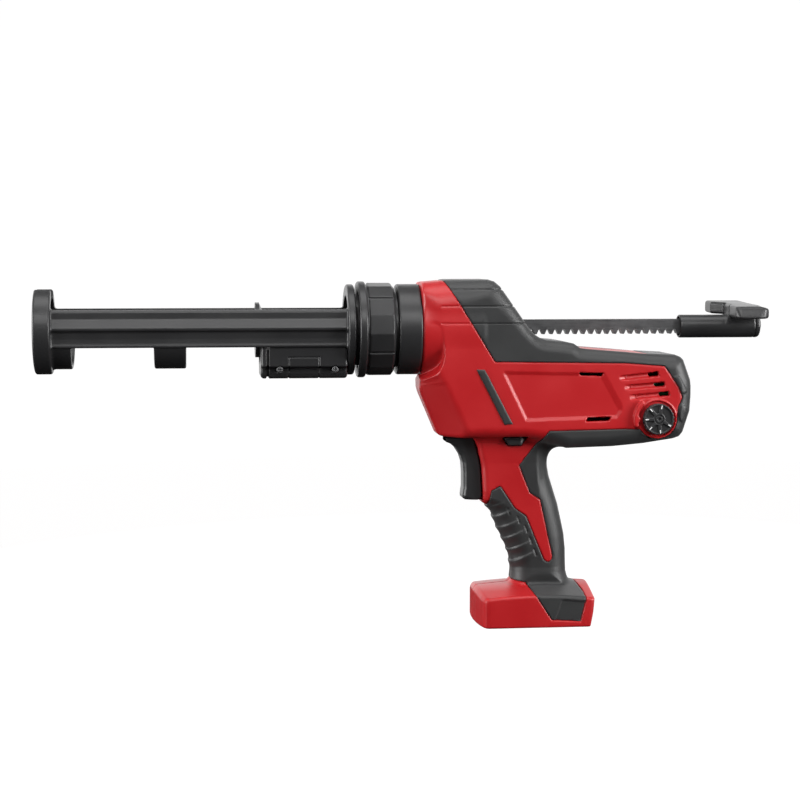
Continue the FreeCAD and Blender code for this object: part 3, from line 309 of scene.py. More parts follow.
CORNERS = [(i, j, k) for i in (0, 1) for j in (0, 1) for k in (0, 1)]


def net(field, g):
    """Points and quads of the surface where the field changes sign."""
    inside = field < 0
    nx, ny, nz = np.subtract(inside.shape, 1)
    counts = sum(inside[i:nx + i, j:ny + j, k:nz + k].astype(np.int8) for i, j, k in CORNERS)
    active = (counts > 0) & (counts < len(CORNERS))
    cells = np.argwhere(active)
    index = np.full(active.shape, -1, np.int32)
    index[active] = np.arange(len(cells))
    values = [field[cells[:, 0] + i, cells[:, 1] + j, cells[:, 2] + k] for i, j, k in CORNERS]
    total = np.zeros((len(cells), 3))
    hits = np.zeros(len(cells))
    for a, ca in enumerate(CORNERS):
        for b in range(a + 1, len(CORNERS)):
            step = np.subtract(CORNERS[b], ca)
            if abs(step).sum() != 1:
                continue
            crossing = (values[a] < 0) != (values[b] < 0)
            share = np.where(crossing, values[a] / np.where(crossing, values[a] - values[b], 1), 0)
            total += crossing[:, None] * (np.array(ca) + share[:, None] * step)
            hits += crossing
    points = g.low + g.step * (cells + total / hits[:, None])
    quads = []
    for axis in range(3):
        u, v = (axis + 1) % 3, (axis + 2) % 3
        first = [slice(1, -1)] * 3
        first[axis] = slice(0, -1)
        second = list(first)
        second[axis] = slice(1, None)
        lower, upper = inside[tuple(first)], inside[tuple(second)]
        at = np.argwhere(lower != upper)
        offset = np.ones(3, int)
        offset[axis] = 0
        place = at + offset
        corners = []
        for du, dv in ((1, 1), (0, 1), (0, 0), (1, 0)):
            cell = place.copy()
            cell[:, u] -= du
            cell[:, v] -= dv
            corners.append(index[cell[:, 0], cell[:, 1], cell[:, 2]])
        quad = np.stack(corners, 1)
        outward = lower[at[:, 0], at[:, 1], at[:, 2]]
        quad[~outward] = quad[~outward][:, ::-1]
        quads.append(quad)
    return points, np.concatenate(quads)


def mesh_of(name, points, faces):
    """Mesh of triangles or quads given as arrays, in millimetres."""
    corners = faces.shape[1]
    mesh = bpy.data.meshes.new(name)
    mesh.vertices.add(len(points))
    mesh.vertices.foreach_set("co", (points * MM).astype(np.float32).ravel())
    mesh.loops.add(faces.size)
    mesh.loops.foreach_set("vertex_index", faces.astype(np.int32).ravel())
    mesh.polygons.add(len(faces))
    mesh.polygons.foreach_set("loop_start", np.arange(0, faces.size, corners, dtype=np.int32))
    mesh.update(calc_edges=True)
    mesh.validate()
    mesh.shade_smooth()
    return mesh


def thinned(piece, share):
    """Fewer faces where the surface is plain, and flat normals on flat areas."""
    thin = piece.modifiers.new("thin", "DECIMATE")
    thin.ratio = share
    shown = piece.evaluated_get(bpy.context.evaluated_depsgraph_get())
    mesh = bpy.data.meshes.new_from_object(shown)
    piece.modifiers.clear()
    heavy = piece.data
    piece.data = mesh
    bpy.data.meshes.remove(heavy)
    mesh.shade_smooth()
    normals = piece.modifiers.new("normals", "WEIGHTED_NORMAL")
    normals.weight = NORMAL_WEIGHT


def scene_object(name, data):
    made = bpy.data.objects.new(name, data)
    bpy.context.scene.collection.objects.link(made)
    return made


def moulded_piece(name, field, g, body, slot, nodes=(), mirror=False, *, share):
    """Piece on a body, in place of the CAD nodes named; the dial's prints have no slot."""
    points, quads = net(field, g)
    if mirror:
        points[:, 1] *= -1
        quads = quads[:, ::-1]
    piece = scene_object(name, mesh_of(name, points, quads))
    piece.data.materials.append(MATERIALS[slot])
    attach(piece, body)
    if nodes:
        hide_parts(*nodes)
    thinned(piece, share)


def build_piece(name, form, node, body, slot="black_plastic", step=FINE_STEP, share=0.35):
    """Piece in the box of the CAD node that it replaces."""
    low, high = span(node)
    g = Grid(low, high, step)
    moulded_piece(name, form(g, low, high), g, body, slot, [node], share=share)


# Materials

def new_material(name):
    material = bpy.data.materials.new(name)
    material.use_nodes = True
    tree = material.node_tree
    shader = tree.nodes["Principled BSDF"]
    place = tree.nodes.new("ShaderNodeTexCoord").outputs["Object"]
    return material, tree, shader, place


def fill(node, values):
    for name, value in values.items():
        node.inputs[name].default_value = value


def noise(tree, place, scale, detail=2.0, roughness=0.5):
    texture = tree.nodes.new("ShaderNodeTexNoise")
    fill(texture, {"Scale": scale, "Detail": detail, "Roughness": roughness})
    tree.links.new(place, texture.inputs["Vector"])
    return texture.outputs["Fac"]


def tint(tree, value, dark, light, start=0.3, end=0.7):
    colours = tree.nodes.new("ShaderNodeValToRGB")
    for element, place, tone in zip(colours.color_ramp.elements, (start, end), (dark, light)):
        element.position = place
        element.color = (*tone, 1)
    tree.links.new(value, colours.inputs["Fac"])
    return colours.outputs["Color"]


def map_range(tree, value, source, result):
    spread = tree.nodes.new("ShaderNodeMapRange")
    fill(spread, dict(zip(("From Min", "From Max", "To Min", "To Max"), (*source, *result))))
    tree.links.new(value, spread.inputs["Value"])
    return spread.outputs["Result"]


def weighted(tree, fine, share, broad):
    """A share of one noise added to another."""
    mixed = tree.nodes.new("ShaderNodeMath")
    mixed.operation = "MULTIPLY_ADD"
    mixed.inputs[1].default_value = share
    tree.links.new(fine, mixed.inputs[0])
    tree.links.new(broad, mixed.inputs[2])
    return mixed.outputs[0]


def surface(tree, shader, tone, rough, height, depth, strength):
    """Colour, roughness and grain of a material."""
    bump = tree.nodes.new("ShaderNodeBump")
    fill(bump, {"Distance": depth, "Strength": strength})
    tree.links.new(height, bump.inputs["Height"])
    tree.links.new(bump.outputs["Normal"], shader.inputs["Normal"])
    tree.links.new(tone, shader.inputs["Base Color"])
    tree.links.new(rough, shader.inputs["Roughness"])


NOISE_SPAN = (0.3, 0.7)
MOTTLE_SCALE, MOTTLE_DETAIL = 26.0, 3.0
GRAIN_DETAIL, GRAIN_ROUGHNESS, GRAIN_SHARE, GRAIN_DEPTH = 2.0, 0.6, 0.35, 0.00012
PLASTIC_TINT = (0.4, 1.0)
SHEEN_ROUGHNESS, COAT_ROUGHNESS = 0.5, 0.3
LINE_SCALE, LINE_DETAIL, LINE_SHARE, LINE_DEPTH = 900.0, 3.0, 0.6, 0.00008
CLOUD_SCALE, CLOUD_DETAIL, METAL_ROUGHNESS = 60.0, 4.0, 0.6
METAL_TINT = (0.5, 1.1)


def plastic(name, dark, light, rough, grain_scale, strength, sheen=0.0, coat=0.0):
    """Moulded plastic or rubber: faint mottling, an eroded grain and an uneven satin."""
    material, tree, shader, place = new_material(name)
    broad = noise(tree, place, MOTTLE_SCALE, MOTTLE_DETAIL)
    fine = noise(tree, place, grain_scale, GRAIN_DETAIL, GRAIN_ROUGHNESS)
    mixed = weighted(tree, fine, GRAIN_SHARE, broad)
    tone = tint(tree, mixed, dark, light, *PLASTIC_TINT)
    surface(tree, shader, tone, map_range(tree, broad, NOISE_SPAN, rough), fine, GRAIN_DEPTH, strength)
    fill(shader, {"Sheen Weight": sheen, "Sheen Roughness": SHEEN_ROUGHNESS})
    fill(shader, {"Coat Weight": coat, "Coat Roughness": COAT_ROUGHNESS})
    return material


def metal(name, dark, light, rough, stretch, strength, metallic=1.0):
    """Worked metal: grain drawn out along the way it was cut, with cloudy oxide."""
    material, tree, shader, place = new_material(name)
    drawn = tree.nodes.new("ShaderNodeMapping")
    fill(drawn, {"Scale": stretch})
    tree.links.new(place, drawn.inputs["Vector"])
    lines = noise(tree, drawn.outputs["Vector"], LINE_SCALE, LINE_DETAIL, METAL_ROUGHNESS)
    cloud = noise(tree, place, CLOUD_SCALE, CLOUD_DETAIL, METAL_ROUGHNESS)
    mixed = weighted(tree, lines, LINE_SHARE, cloud)
    tone = tint(tree, mixed, dark, light, *METAL_TINT)
    surface(tree, shader, tone, map_range(tree, lines, NOISE_SPAN, rough), lines, LINE_DEPTH, strength)
    fill(shader, {"Metallic": metallic})
    return material


# Dark and light tone, range of roughness, scale and strength of the grain, sheen, coat
PLASTICS = {
    "red_plastic": ((0.41, 0.008, 0.011), (0.48, 0.012, 0.015), (0.32, 0.42), 3200.0, 0.10),
    "soft_grip": ((0.019, 0.0195, 0.020), (0.028, 0.0285, 0.029), (0.42, 0.52), 2600.0, 0.25, 0.10),
    "black_plastic": ((0.019, 0.019, 0.020), (0.027, 0.027, 0.028), (0.30, 0.40), 3000.0, 0.12),
    "guide_plastic": ((0.020, 0.020, 0.021), (0.030, 0.030, 0.031), (0.40, 0.52), 2400.0, 0.15),
    PRINT: ((0.74, 0.74, 0.73), (0.84, 0.84, 0.83), (0.40, 0.52), 3000.0, 0.06),
    SCALE_PRINT: ((0.20, 0.21, 0.20), (0.26, 0.27, 0.26), (0.40, 0.52), 3000.0, 0.06),
    "board": ((0.02, 0.13, 0.05), (0.03, 0.18, 0.07), (0.25, 0.35), 1500.0, 0.05, 0.0, 0.4),
    "lead_jacket": ((0.07, 0.006, 0.006), (0.11, 0.010, 0.010), (0.35, 0.45), 2000.0, 0.05),
}
# Dark and light tone, range of roughness, stretch and strength of the grain, share of metal
METALS = {
    "rack_steel": ((0.085, 0.085, 0.088), (0.150, 0.150, 0.153), (0.36, 0.50), (0.08, 1.0, 1.0), 0.2, 0.75),
    "bright_steel": ((0.36, 0.36, 0.37), (0.52, 0.52, 0.53), (0.24, 0.36), (0.2, 1.0, 1.0), 0.15),
    "frame_alloy": ((0.42, 0.43, 0.44), (0.58, 0.59, 0.60), (0.42, 0.56), (1.0, 1.0, 1.0), 0.4),
    "contact_metal": ((0.58, 0.38, 0.16), (0.76, 0.52, 0.26), (0.22, 0.34), (0.3, 1.0, 1.0), 0.1),
    "magnet": ((0.05, 0.05, 0.052), (0.09, 0.09, 0.092), (0.55, 0.7), (1.0, 1.0, 1.0), 0.3, 0.3),
}
MATERIALS = {name: plastic(name, *look) for name, look in PLASTICS.items()}
MATERIALS.update({name: metal(name, *look) for name, look in METALS.items()})


def dress_nodes():
    """Materials of the CAD nodes that stay, by the slots that the record gives them."""
    for row in frame["record"]["subparts"]:
        node = frame["nodes"][row["node"]]
        node.data.materials.clear()
        node.data.materials.append(MATERIALS[row["material_slot"]])


# Housing, grip and foot

# Rounding of the body's long edges: wider on the hump, a little wider at the tail
CROWN_Z, CROWN_X, TAIL_X = (204, 250), (-75, -5), (60, 112)
BODY_EDGE, CROWN_EDGE, TAIL_EDGE = 9.0, 12.0, 3.0

# Chin: the sides close in toward the front edge, more so lower down
CHIN_FOOT, CHIN_NORMAL = (-88.9, 184.2), (0.906, 0.424)
CHIN_FRONT_X = -89.5
CHIN_Z, CHIN_REACH, CHIN_SLOPE = (186, 204), (17.0, 10.0), (1.15, 0.55)
CHIN_SOFT = 3.0

# Scoop: a plane that rises to the rear and the middle, with an end behind the nose
SCOOP_PLACE, SCOOP_HALF = (-89.3, 185.6), 28.0
SCOOP_RISE, SCOOP_FALL, SCOOP_SCALE = 0.91, 0.26, 1.38
SCOOP_REAR_X, SCOOP_TOP_Z = -72.0, 236.0
SCOOP_REAR_SOFT, SCOOP_TOP_SOFT, SCOOP_EDGE = 8.0, 10.0, 1.0

BARREL_PROUD, BARREL_FRONT, BARREL_REAR_X = 0.4, 30, -40.0
BARREL_EDGE, BARREL_SOFT = 3.0, 2.6
FACE_STEP_Z, FACE_SETBACK, FACE_REACH, FACE_EDGE = 193.4, 0.3, 1.0, 2.2

# Grip: squarer behind the trigger, round toward the palm
GRIP_EDGE_Z, GRIP_EDGES = (88, 104), (14.0, 4.5)
PALM_X, PALM_FLAT = (-6, 8), 0.8

FOOT_LEAN, FOOT_REAR_X, FOOT_LEAN_SOFT = 0.2, 41.1, 1.5
RIDGE_FALL, RIDGE_FALL_X, RIDGE_SOFT = 0.085, -15, 2.4
FOOT_EDGE, FOOT_FRONT_EDGE, FOOT_FRONT_X, FOOT_FLOOR_EDGE = 1.8, 3.4, (-46, -36), 1.2

GRIP_SOFT, GRIP_REAR_SOFT, GRIP_REAR_X = 5.0, 13.0, (-10, 12)
FOOT_SOFT = 4.5


def barrel_form(g):
    """Upper body: flat sides, a round barrel behind the nose, a scoop and a chin under it."""
    side = polygon(BODY_OUTLINE, g.x, g.z)
    across = np.abs(g.y)
    crown = ramp(g.z, *CROWN_Z) * (1 - ramp(g.x, *CROWN_X))
    edge = BODY_EDGE + CROWN_EDGE * crown + TAIL_EDGE * ramp(g.x, *TAIL_X)
    form = rounded(side, across - BODY_HALF, edge)
    back = union(plane(g, CHIN_FOOT, CHIN_NORMAL), g.x - CHIN_FRONT_X)
    reach = ramp(g.z, *CHIN_Z, *CHIN_REACH)
    slope = ramp(g.z, *CHIN_Z, *CHIN_SLOPE)
    chin = (across - BODY_HALF + (reach - back) * slope) / np.sqrt(1 + slope * slope)
    form = meet(form, chin, CHIN_SOFT)
    over = g.z - SCOOP_PLACE[1] - SCOOP_RISE * (g.x - SCOOP_PLACE[0])
    scoop = (over - SCOOP_FALL * (SCOOP_HALF - across)) / SCOOP_SCALE
    kept = join(scoop, SCOOP_REAR_X - g.x, SCOOP_REAR_SOFT)
    kept = join(kept, SCOOP_TOP_Z - g.z, SCOOP_TOP_SOFT)
    form = meet(form, kept, SCOOP_EDGE)
    length = between(g.x, NECK_X - BARREL_FRONT, BARREL_REAR_X)
    barrel = rounded(round_x(g) - BODY_HALF - BARREL_PROUD, length, BARREL_EDGE)
    form = join(form, barrel, BARREL_SOFT)
    front = np.where(g.z > FACE_STEP_Z, NECK_X + FACE_SETBACK, NECK_X - FACE_REACH)
    return rounded(form, front - g.x, FACE_EDGE)


def grip_form(g):
    side = polygon(GRIP_OUTLINE, g.x, g.z)
    half = np.interp(g.z, *zip(*GRIP_HALF_WIDTHS)).astype(np.float32)
    edge = ramp(g.z, *GRIP_EDGE_Z, *GRIP_EDGES)
    edge = edge + (half - PALM_FLAT - edge) * ramp(g.x, *PALM_X)
    return rounded(side, np.abs(g.y) - half, edge)


def foot_form(g):
    """Foot for the pack: a low roof over straight walls, with a leaning rear wall."""
    across = np.abs(g.y)
    walls = polygon(FOOT_OUTLINE, g.x, g.y)
    rear = (g.x - FOOT_REAR_X - FOOT_LEAN * g.z) / math.sqrt(1 + FOOT_LEAN * FOOT_LEAN)
    walls = meet(walls, rear, FOOT_LEAN_SOFT)
    eaves = FOOT_EAVES_Z - FOOT_EAVES_BOW * g.x ** 2
    tilt = math.sqrt(1 + FOOT_ROOF_SLOPE ** 2)
    slope = (g.z - eaves - FOOT_ROOF_SLOPE * (FOOT_HALF - across)) / tilt
    ridge = g.z - FOOT_RIDGE_Z - RIDGE_FALL * np.minimum(g.x - RIDGE_FALL_X, 0)
    roof = meet(slope, ridge, RIDGE_SOFT)
    edge = FOOT_EDGE + FOOT_FRONT_EDGE * (1 - ramp(g.x, *FOOT_FRONT_X))
    return rounded(rounded(walls, roof, edge), -g.z, FOOT_FLOOR_EDGE)


def whole_form(g):
    soft = GRIP_SOFT + GRIP_REAR_SOFT * ramp(g.x, *GRIP_REAR_X)
    upper = join(barrel_form(g), grip_form(g), soft)
    return join(upper, foot_form(g), FOOT_SOFT)


def soft_area(g):
    """Area of the overmould seen from the side, less the bare strip on top of the motor."""
    red = polygon(RED_AREA, g.x, g.z)
    dark = common(-red, DARK_FLOOR_Z - g.z)
    strip = common(between(g.x, *STRIP_X), np.abs(g.y) - STRIP_HALF, STRIP_LOW_Z - g.z)
    return cut(union(dark, polygon(FOOT_DARK, g.x, g.z)), strip)


# Relief of the red side
BADGE_REAR, BADGE_REAR_NORMAL, BADGE_REAR_BEVEL = (51.7, 195.3), (0.874, 0.486), 4.6
SLIT_DEPTH = 4.2
VENT_FLOOR, VENT_SINK, VENT_SINK_AT = 2.3, 1.4, (0.70, 0.76)
VENT_LIP, VENT_LIP_SHARE = 0.2, (0.55, 1.0)
VENT_SOFT = 0.5
VENT_CORNERS = (-0.6, 0.0, 1.0, 0.6)
VENT_PAD = [(-6.4, 1.6), (-0.8, 1.7), (0.6, -1.5), (-5.0, -1.6)]
VENT_PAD_START, VENT_PAD_RUN = 5.6, 5.4
RED_GROOVE, SOFT_GROOVE, GROOVE_SOFT = 0.7, 0.9, 0.4


def vent_relief(g, front, rear):
    """Depth of one vent: a slot that sinks to the rear, and the slope that leads into it."""
    (x0, z0), (x1, z1) = front, rear
    corners = zip((x0, x1, x1, x0), VENT_CORNERS, (z0, z1, z1, z0), (1, 1, -1, -1))
    outline = [(x + shift, z + up * VENT_HALF) for x, shift, z, up in corners]
    slot = polygon(outline, g.x, g.z)
    along = (g.x - x0) / (x1 - x0)
    across = g.z - z0 - (z1 - z0) * along
    floor = VENT_FLOOR + VENT_SINK * ramp(along, *VENT_SINK_AT)
    floor = floor * ramp(across, -VENT_HALF - VENT_LIP, VENT_LIP, *VENT_LIP_SHARE)
    depth = inset(slot, floor, VENT_SOFT)
    pad = polygon([(x0 + x, z0 + z) for x, z in VENT_PAD], g.x, g.z)
    slope = VENT_FLOOR * np.clip((g.x - x0 + VENT_PAD_START) / VENT_PAD_RUN, 0, 1)
    return np.maximum(depth, inset(pad, slope, VENT_SOFT))


def red_relief(g):
    """Depth of the badge panel, its slits, the vents and the parting lines on the red side."""
    badge = polygon(BADGE, g.x, g.z)
    depth = BADGE_DEPTH * np.clip(-badge / BADGE_BEVEL, 0, 1)
    past_rear = plane(g, BADGE_REAR, BADGE_REAR_NORMAL)
    depth = np.minimum(depth, BADGE_DEPTH * np.clip(-past_rear / BADGE_REAR_BEVEL, 0, 1))
    for slit in BADGE_SLITS:
        depth = np.maximum(depth, inset(polygon(slit, g.x, g.z), SLIT_DEPTH))
    for front, rear in VENTS:
        depth = np.maximum(depth, vent_relief(g, front, rear))
    for height in HUMP_GROOVES[1:]:
        away = common(np.abs(g.z - height) - GROOVE_HALF, RED_GROOVE_FRONT_X - g.x)
        depth = np.maximum(depth, RED_GROOVE * np.clip(-away / GROOVE_SOFT, 0, 1) * (g.x < 0))
    return depth


# Relief of the overmould
FOOT_INSET, PAD_RISE = (0.9, 1.2), (0.9, 0.8)
RIB_RISE, RIB_BACK, RIB_CREST = 0.8, (-6.5, -0.6), (-0.5, 0.7)
RIB_FADE = (-7.0, 1.0)
TICK_LEAN, TICK_REACH, TICK_HALF, TICK_SOFT, TICK_DEPTH = (-0.7, 0.9), 2.4, 0.9, 0.5, 0.6


def soft_relief(g):
    """Grooves round the hump, the foot's inset, the rear pads and the finger ribs."""
    depth = np.zeros(np.broadcast_shapes(g.x.shape, g.z.shape), np.float32)
    for height in HUMP_GROOVES:
        groove = line_depth(g.z - height, GROOVE_HALF, SOFT_GROOVE, GROOVE_SOFT)
        depth = np.maximum(depth, groove * (g.x < 0))
    depth = np.maximum(depth, inset(polygon(FOOT_RECESS, g.x, g.z), *FOOT_INSET))
    for pad in REAR_PADS:
        depth = depth - inset(polygon(pad, g.x, g.z), *PAD_RISE)
    rise = np.zeros_like(depth)
    for front, rear in RIB_LINES:
        slope = (rear[1] - front[1]) / (rear[0] - front[0])
        above = (g.z - front[1] - slope * (g.x - front[0])) / math.sqrt(1 + slope * slope)
        ahead = ramp(g.x, rear[0] + RIB_FADE[0], rear[0] + RIB_FADE[1], 1.0, 0.0)
        rib = ahead * RIB_RISE * ramp(above, *RIB_BACK) * (1 - ramp(above, *RIB_CREST))
        rise = np.maximum(rise, rib)
    ticks = np.zeros_like(depth)
    for x, z in RIB_TICKS:
        top, foot = (x + TICK_LEAN[0], z + TICK_REACH), (x + TICK_LEAN[1], z - TICK_REACH)
        away = segment(top, foot, g.x, g.z)
        ticks = np.maximum(ticks, TICK_DEPTH * np.clip((TICK_HALF - away) / TICK_SOFT, 0, 1))
    return depth - rise + ticks


BAY_X, BAY_Y, BAY_Z = (-28.0, 90.0), (-30.0, 30.0), (-20.0, 18.0)
BAY_RAIL_Y, BAY_RAIL_Z = 26.0, (6.0, 9.0)


def battery_bay(g):
    """Pocket for the pack, open below and to the rear, with a rail along each side."""
    bay = block(g, BAY_X, BAY_Y, BAY_Z)
    return cut(bay, common(BAY_RAIL_Y - np.abs(g.y), between(g.z, *BAY_RAIL_Z)))


DIAL_WELL, DIAL_WELL_FLOOR = 13.8, 33.2
DIAL_X = (DIAL_LOW[0] + DIAL_HIGH[0]) / 2
DIAL_Z = (DIAL_LOW[2] + DIAL_HIGH[2]) / 2
BOSS_RIM, BOSS_RIM_Y, BOSS_EDGE = 1.3, 34.8, 0.5
BOSS_FLOOR, BOSS_FLOOR_Y = 0.6, 31.6
GUARD_RING, GUARD_Y = (16.0, 19.0), 38.0
GUARD_MIDDLE, GUARD_HALF_TURN, GUARD_TURN_SCALE, GUARD_SOFT = 165, 34, 0.31, 0.8
POINTER_SETBACK, POINTER_SLOPE, POINTER_SIZE = 16.2, (0.78, 0.62), 2.0


def dial_boss(g):
    """Rim of the dial's well, with a raised guard on its front side that carries a pointer."""
    away = round_y(g, DIAL_X, DIAL_Z)
    angle = np.degrees(np.arctan2(g.z - DIAL_Z, g.x - DIAL_X))
    rim = rounded(between(away, DIAL_WELL, DIAL_WELL + BOSS_RIM), -g.y - BOSS_RIM_Y, BOSS_EDGE)
    turn = np.abs(in_turn(angle - GUARD_MIDDLE, FULL_TURN, 1.5 * FULL_TURN))
    guard = rounded(between(away, *GUARD_RING), -g.y - GUARD_Y, BOSS_EDGE)
    guard = meet(guard, (turn - GUARD_HALF_TURN) * GUARD_TURN_SCALE, GUARD_SOFT)
    from_tip = np.abs(g.x - (DIAL_X - POINTER_SETBACK))
    tip = np.abs(g.z - DIAL_Z) * POINTER_SLOPE[1] + from_tip * POINTER_SLOPE[0]
    tip = common(tip - POINTER_SIZE, -g.y - GUARD_Y)
    floor = common(away - DIAL_WELL - BOSS_FLOOR, -g.y - BOSS_FLOOR_Y)
    return union(rim, guard, tip, floor)


BODY_REAR_X, FRONT_ROOM, SIDE_ROOM, MIDDLE_ROOM = 122.0, 2.0, 0.6, 0.5
TUNNEL_HALF, TUNNEL_ROOM = 5.4, 1.2
SPIGOT_BORE, SPIGOT_REAR_X = 29.4, -81.2
BLADE_SLOT_HALF, BLADE_SLOT_X, BLADE_SLOT_Z = 11.5, -31.4, (95.4, 146.0)
BUTTON_ROOM = 0.9
HALF_GAP, HALF_EDGE = 0.05, 0.5
RED_EDGE, SOFT_EDGE, SKIN_SEAT = 0.7, 0.9, 0.1
DIAL_SKIN_ROOM = 1.5
BAR_PROUD, BAR_SEAT, BAR_SLOPE, BAR_EDGE = 1.1, 0.2, 0.8, 1.6


def rack_passage(g, half, room):
    return common(np.abs(g.y) - half, between(g.z, RACK_LOW[2] - room, RACK_HIGH[2] + room))


def housing_openings(g, bay):
    """Rod tunnel, nose spigot, trigger slot, lock button and battery bay."""
    tunnel = rack_passage(g, TUNNEL_HALF, TUNNEL_ROOM)
    spigot = common(round_x(g) - SPIGOT_BORE, g.x - SPIGOT_REAR_X)
    slot = common(np.abs(g.y) - BLADE_SLOT_HALF, g.x - BLADE_SLOT_X, between(g.z, *BLADE_SLOT_Z))
    button = polygon(button_outline(BUTTON_ROOM), g.x, g.z)
    return union(tunnel, spigot, slot, button, bay)


def build_housing():
    """The near half, and its mirror with screw wells in place of the dial."""
    low = (NECK_X - FRONT_ROOM, -FOOT_HALF - SIDE_ROOM, 0.0)
    high = (BODY_REAR_X, MIDDLE_ROOM, CAD_HIGH.z / MM)
    g = Grid(low, high, BODY_STEP)
    form = whole_form(g)
    area = soft_area(g)
    bay = battery_bay(g)
    cavity = common(form + WALL, WALL - bay)
    openings = housing_openings(g, bay)
    half = g.y + HALF_GAP
    recess = cut(area, form + SKIN)
    red = meet(form + red_relief(g), -recess, RED_EDGE)
    soft = meet(form - PROUD + soft_relief(g), area + SEAM, SOFT_EDGE)
    soft = cut(soft, form + SKIN - SKIN_SEAT)
    bar = polygon(SIDE_BAR, g.x, g.z)
    pad = meet(form - BAR_PROUD, bar * BAR_SLOPE, BAR_EDGE)
    pad = cut(pad, form + BAR_SEAT)
    from_dial = round_y(g, DIAL_X, DIAL_Z)
    for name, mirror in (("left", False), ("right", True)):
        shell, skin = red, soft
        if mirror:
            for x, z, seat in SCREW_PLACES:
                well = common(round_y(g, x, z) - SCREW_WELL, seat + g.y)
                shell, skin = cut(shell, well), cut(skin, well)
        else:
            well = common(from_dial - DIAL_WELL, g.y + DIAL_WELL_FLOOR)
            shell = union(cut(shell, well), dial_boss(g))
            skin = common(skin, DIAL_WELL + DIAL_SKIN_ROOM - from_dial)
        shell = rounded(cut(shell, cavity, openings), half, HALF_EDGE)
        skin = rounded(cut(skin, openings), half, HALF_EDGE)
        for piece, field, slot, node, share in (
            ("housing_shell_", shell, "red_plastic", "housing_", 0.3),
            ("grip_skin_", skin, "soft_grip", "overmould_", 0.3),
            ("side_bar_", pad, "soft_grip", "side_pad_", 0.6),
        ):
            moulded_piece(piece + name, field, g, "housing", slot, [node + name], mirror, share=share)


# Nose, collar and carriage

NOSE_GAP, NOSE_EDGE, NOSE_LAP = 1.5, 1.6, 0.2
NOSE_TUBE, NOSE_TUBE_STEP, NOSE_TUBE_LAP = (30.9, 28.9), (5.0, 4.0), 3.0
NOSE_SPIGOT_LAP = 4
NOSE_BORE, NOSE_BORE_REAR_X = 27.6, -96.4
PASSAGE_HALF, PASSAGE_ROOM = 6.0, 2.0


def nose_form(g, low, high):
    """Band behind the collar, the tube that the collar turns on and the spigot in the housing."""
    radius = high[2] - AXIS_Z
    front = COLLAR_HIGH[0] + NOSE_GAP
    away = round_x(g)
    ring = rounded(away - radius, between(g.x, front, NECK_X + NOSE_LAP), NOSE_EDGE)
    neck = ramp(g.x, front - NOSE_TUBE_STEP[0], front - NOSE_TUBE_STEP[1], *NOSE_TUBE)
    tube = common(away - neck, between(g.x, low[0], front + NOSE_TUBE_LAP))
    spigot = common(away - NOSE_TUBE[1], between(g.x, NECK_X - NOSE_SPIGOT_LAP, high[0]))
    bore = common(away - NOSE_BORE, g.x - NOSE_BORE_REAR_X)
    return cut(union(ring, tube, spigot), bore, rack_passage(g, PASSAGE_HALF, PASSAGE_ROOM))


PAD_TURN = 72.0
FACET_TURN = 24.0
PAD_START = 44.0
CREST_DROP, FACET_RISE = 1.2, 0.1
PAD_GAP_HALF, PAD_FRONT, PAD_REAR, PAD_EDGE = 0.75, 7.6, 0.7, 0.8
SLEEVE_DROP, SLEEVE_EDGE, COLLAR_REAR_GAP = 1.3, 1.2, 0.8
FLANGE_LENGTH, FLANGE_EDGE = 6.2, 1.6
BEVEL_RISE, BEVEL_SLOPE, BEVEL_LENGTH, BEVEL_SCALE = 0.1, 1.25, 2.2, 1.6
COLLAR_BORE, COLLAR_LIP, COLLAR_OVERRUN = 31.3, 2.7, 9
COLLAR_MOUTH = 27.6
LUG_TURN, LUG_ARC = 120, 0.45
SLOT_RADIUS, SLOT_HALF_TURN = 30.4, 20.0


def collar_form(g, low, high):
    """Faceted pads between grooves, a flange in front and bayonet slots in the mouth."""
    away = round_x(g)
    angle = ring_angle(g)
    outer = high[2] - AXIS_Z
    crest = outer - CREST_DROP
    in_facet = in_turn(angle - PAD_START, FACET_TURN)
    flat = crest * math.cos(math.radians(FACET_TURN / 2)) / np.cos(np.radians(in_facet)) + FACET_RISE
    in_pad = np.abs(in_turn(angle - PAD_START, PAD_TURN))
    groove = (in_pad - PAD_TURN / 2) * math.radians(1) * crest + PAD_GAP_HALF
    front, rear = low[0], high[0] - COLLAR_REAR_GAP
    sleeve = rounded(away - crest + SLEEVE_DROP, between(g.x, front, rear), SLEEVE_EDGE)
    pads = meet(away - flat, between(g.x, front + PAD_FRONT, rear - PAD_REAR), PAD_EDGE)
    pads = meet(pads, groove, PAD_EDGE)
    flange = rounded(away - outer, between(g.x, front, front + FLANGE_LENGTH), FLANGE_EDGE)
    bevel = (away - crest + BEVEL_RISE + BEVEL_SLOPE * (g.x - rear + BEVEL_LENGTH)) / BEVEL_SCALE
    ring = common(union(sleeve, pads, flange), bevel)
    bore = common(away - COLLAR_BORE, between(g.x, front + COLLAR_LIP, rear + COLLAR_OVERRUN))
    in_slot = np.abs(in_turn(angle, LUG_TURN)) - SLOT_HALF_TURN
    slots = common(away - SLOT_RADIUS, in_slot * LUG_ARC)
    return cut(ring, bore, union(away - COLLAR_MOUTH, slots))


